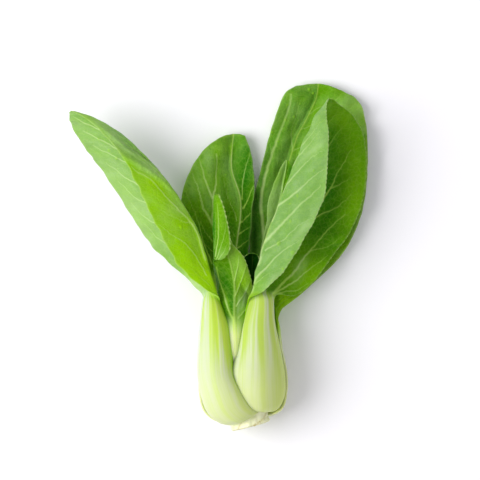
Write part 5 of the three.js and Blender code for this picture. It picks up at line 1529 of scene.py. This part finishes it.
# ------------------------------------------------------------------ the stump
@dataclass
class Stump:
    """The root stump: the cut end of the crown that the stalks grow from."""

    radius: float = 10.4
    tilt: float = 14.2  # degrees
    foot: Point = (8.2, 0.0, 21.0)  # middle of the cut face
    turns: int = 144
    ring_step: float = 0.35
    fold_height: float = 0.28  # of the folds where the first leaves were
    grit: float = 0.14  # height of the roughness of its side
    cut_grain: float = 0.12  # height of the roughness of its cut face
    worn: float = 0.25  # how far its side is worn back
    finish: StumpFinish = StumpFinish()

    def profile(self) -> Array:
        """The stump's outline from the middle of the cut face round to the top, evenly spaced."""
        r = self.radius
        corners = np.array([
            (0, 0), (r - 0.8, 0), (r, 0.9), (r - 0.5, 3), (r - 0.3, 5.2),
            (r + 0.8, 7.4), (r, 10), (7.4, 12.6), (3.8, 13.8), (0, 14.2),
        ], float)
        travel = np.concatenate([[0], np.cumsum(np.linalg.norm(np.diff(corners, axis=0), axis=1))])
        places = np.linspace(0, travel[-1], int(travel[-1] / self.ring_step))
        return np.stack([np.interp(places, travel, corners[:, k]) for k in (0, 1)], axis=1)

    def _turned(self) -> bpy.types.Mesh:
        """The smooth stump: its outline spun round the crown's axis, which is y here."""
        body = bmesh.new()
        line = [body.verts.new((x, y, 0.0)) for x, y in self.profile()]
        edges = [body.edges.new(pair) for pair in zip(line, line[1:])]
        bmesh.ops.spin(
            body, geom=line + edges, cent=(0, 0, 0), axis=(0, 1, 0), angle=TURN,
            steps=self.turns, use_merge=True,
        )
        bmesh.ops.remove_doubles(body, verts=body.verts, dist=1e-4)
        bmesh.ops.recalc_face_normals(body, faces=body.faces)
        return finished_mesh(body, "root_stump_mesh")

    def _weathered(self, place: Array) -> tuple[Array, Array, Array]:
        """Roughen the smooth stump, with folds round its side and a grain on its cut face.

        Args:
            place: the smooth stump's vertices.

        Returns:
            The rough stump's vertices, how scarred each one is, and how much it belongs to the pith.
        """
        x, y, z = place.T
        turn, radius = np.arctan2(z, x), np.hypot(x, z)
        out, arc = radius / self.radius, turn * self.radius
        swell = 1 + 0.02 * np.sin(5 * turn) + 0.015 * np.sin(8 * turn + 1)
        side = smooth(0.6, 0.9, out)
        folds = np.abs(np.sin(2.5 * turn + 0.35 * y + 0.5 * np.sin(3 * turn)))
        ledge = self.fold_height * (folds**0.6 - 0.6) * side
        rough = self.grit * ripple(arc, y, 2.6, 4) + 0.08 * ripple(x, z + y, 1.1, 9)
        grain = self.cut_grain * ripple(x, z, 5.0, 12) + 0.05 * ripple(x, z, 1.2, 14)
        cut = (1.0 - smooth(0.0, 0.5, y)) * grain
        grown = radius * swell + (rough * side + ledge - self.worn * side)
        worn = self.worn * side * (1.0 - smooth(0.0, 1.2, y)) * (1 + ripple(arc, 0 * arc, 3.0, 2))
        x, z = grown * np.cos(turn), grown * np.sin(turn)
        y = y + np.abs(cut) + worn
        scar = bell(folds, 0.22) * side * 0.9
        scar += bell(out - 0.72, 0.06) * (1 - side) * 0.5
        scar += 0.5 * (1.0 - smooth(0.1, 1.3, y)) * side
        pith = (1.0 - smooth(0.3, 0.62, out)) * (1.0 - smooth(0.2, 0.6, y))
        return np.stack([x, y, z], axis=1), np.clip(scar, 0, 1), pith

    def make(self) -> bpy.types.Object:
        """Build the stump and dress it in its finish.

        Returns:
            The finished piece.
        """
        mesh = self._turned()
        rough, scar, pith = self._weathered(vertices(mesh).astype(float))
        angle = math.radians(self.tilt)
        x, y, z = rough.T
        tilted = [x * math.cos(angle) - y * math.sin(angle), x * math.sin(angle) + y * math.cos(angle), z]
        place_in_frame(mesh, np.stack(tilted, axis=1) + np.array(self.foot))
        write_value(mesh, "scar", scar)
        write_value(mesh, "pith", pith)
        return finish_piece(mesh, "root_stump", self.finish.material("stump_flesh_finish"))


# ------------------------------------------------------------------ the studio
@dataclass(frozen=True)
class Studio:
    """A pale floor, a large soft light from the left, an even fill, and the camera above."""

    middle: Pair = (2.6, 96.2)  # what the camera looks at, in head coordinates
    view: float = 249.6  # width of the view at the floor, in millimetres
    camera_height: float = 2.4  # in metres, as are the sizes of the floor and the light
    sensor: float = 36.0  # width of the camera's sensor, in millimetres
    floor_size: float = 3.0
    floor_colour: Colour = (250, 250, 250)
    light_turn: float = 181.0  # degrees round from +x
    light_rise: float = 50.0  # degrees above the floor
    light_away: float = 1.1  # from the place that the camera looks at
    light_size: float = 0.95
    light_power: float = 10.9  # watts
    fill: float = 0.61  # strength of the even light from all round
    fill_colour: Linear = (1.0, 0.97, 1.06, 1.0)

    def target(self) -> Vector:
        """The point under the camera, in the frame's metres."""
        place = (np.array([*self.middle, 0.0]) - ORIGIN) * MM
        return Vector(place)

    def floor(self) -> None:
        """Lay the floor."""
        body = bmesh.new()
        bmesh.ops.create_grid(body, x_segments=1, y_segments=1, size=self.floor_size / 2)
        mesh = finished_mesh(body, "floor_mesh")
        g = Graph("floor_finish")
        matt = {"Base Color": linear(self.floor_colour), "Roughness": 0.9, "Specular IOR Level": 0.1}
        mesh.materials.append(g.finished(g.surface(matt)))
        floor = placed("floor", mesh)

    def lights(self) -> None:
        """Hang the soft light and set the fill."""
        lamp = bpy.data.lights.new("window", "AREA")
        lamp.shape = "DISK"
        lamp.size = self.light_size
        lamp.energy = self.light_power
        key = placed("window", lamp)
        turn, rise = math.radians(self.light_turn), math.radians(self.light_rise)
        away = Vector((math.cos(turn) * math.cos(rise), math.sin(turn) * math.cos(rise), math.sin(rise)))
        key.location = self.target() + away * self.light_away
        key.rotation_euler = away.to_track_quat("Z", "Y").to_euler()
        world = bpy.data.worlds.new("studio")
        world.use_nodes = True
        sky = world.node_tree.nodes["Background"]
        sky.inputs["Color"].default_value = self.fill_colour
        sky.inputs["Strength"].default_value = self.fill
        bpy.context.scene.world = world
        bpy.context.scene.view_settings.view_transform = "Standard"

    def camera(self) -> None:
        """Set the camera straight above, with the leaf tips at the top of the view."""
        data = bpy.data.cameras.new("camera")
        data.sensor_width = self.sensor
        half = self.view * MM / 2.0
        data.lens = self.sensor / 2.0 * self.camera_height / half
        view = placed("camera", data)
        view.location = self.target() + Vector((0.0, 0.0, self.camera_height))
        bpy.context.scene.camera = view

    def make(self) -> None:
        """Set up the whole studio."""
        self.camera()
        self.floor()
        self.lights()


def main() -> None:
    """Build every piece in order."""
    logging.basicConfig(level=logging.INFO, format="%(name)s: %(message)s")
    Studio().make()
    Stump().make()
    for leaf in LEAVES:
        leaf.make()


if __name__ == "__main__":
    main()
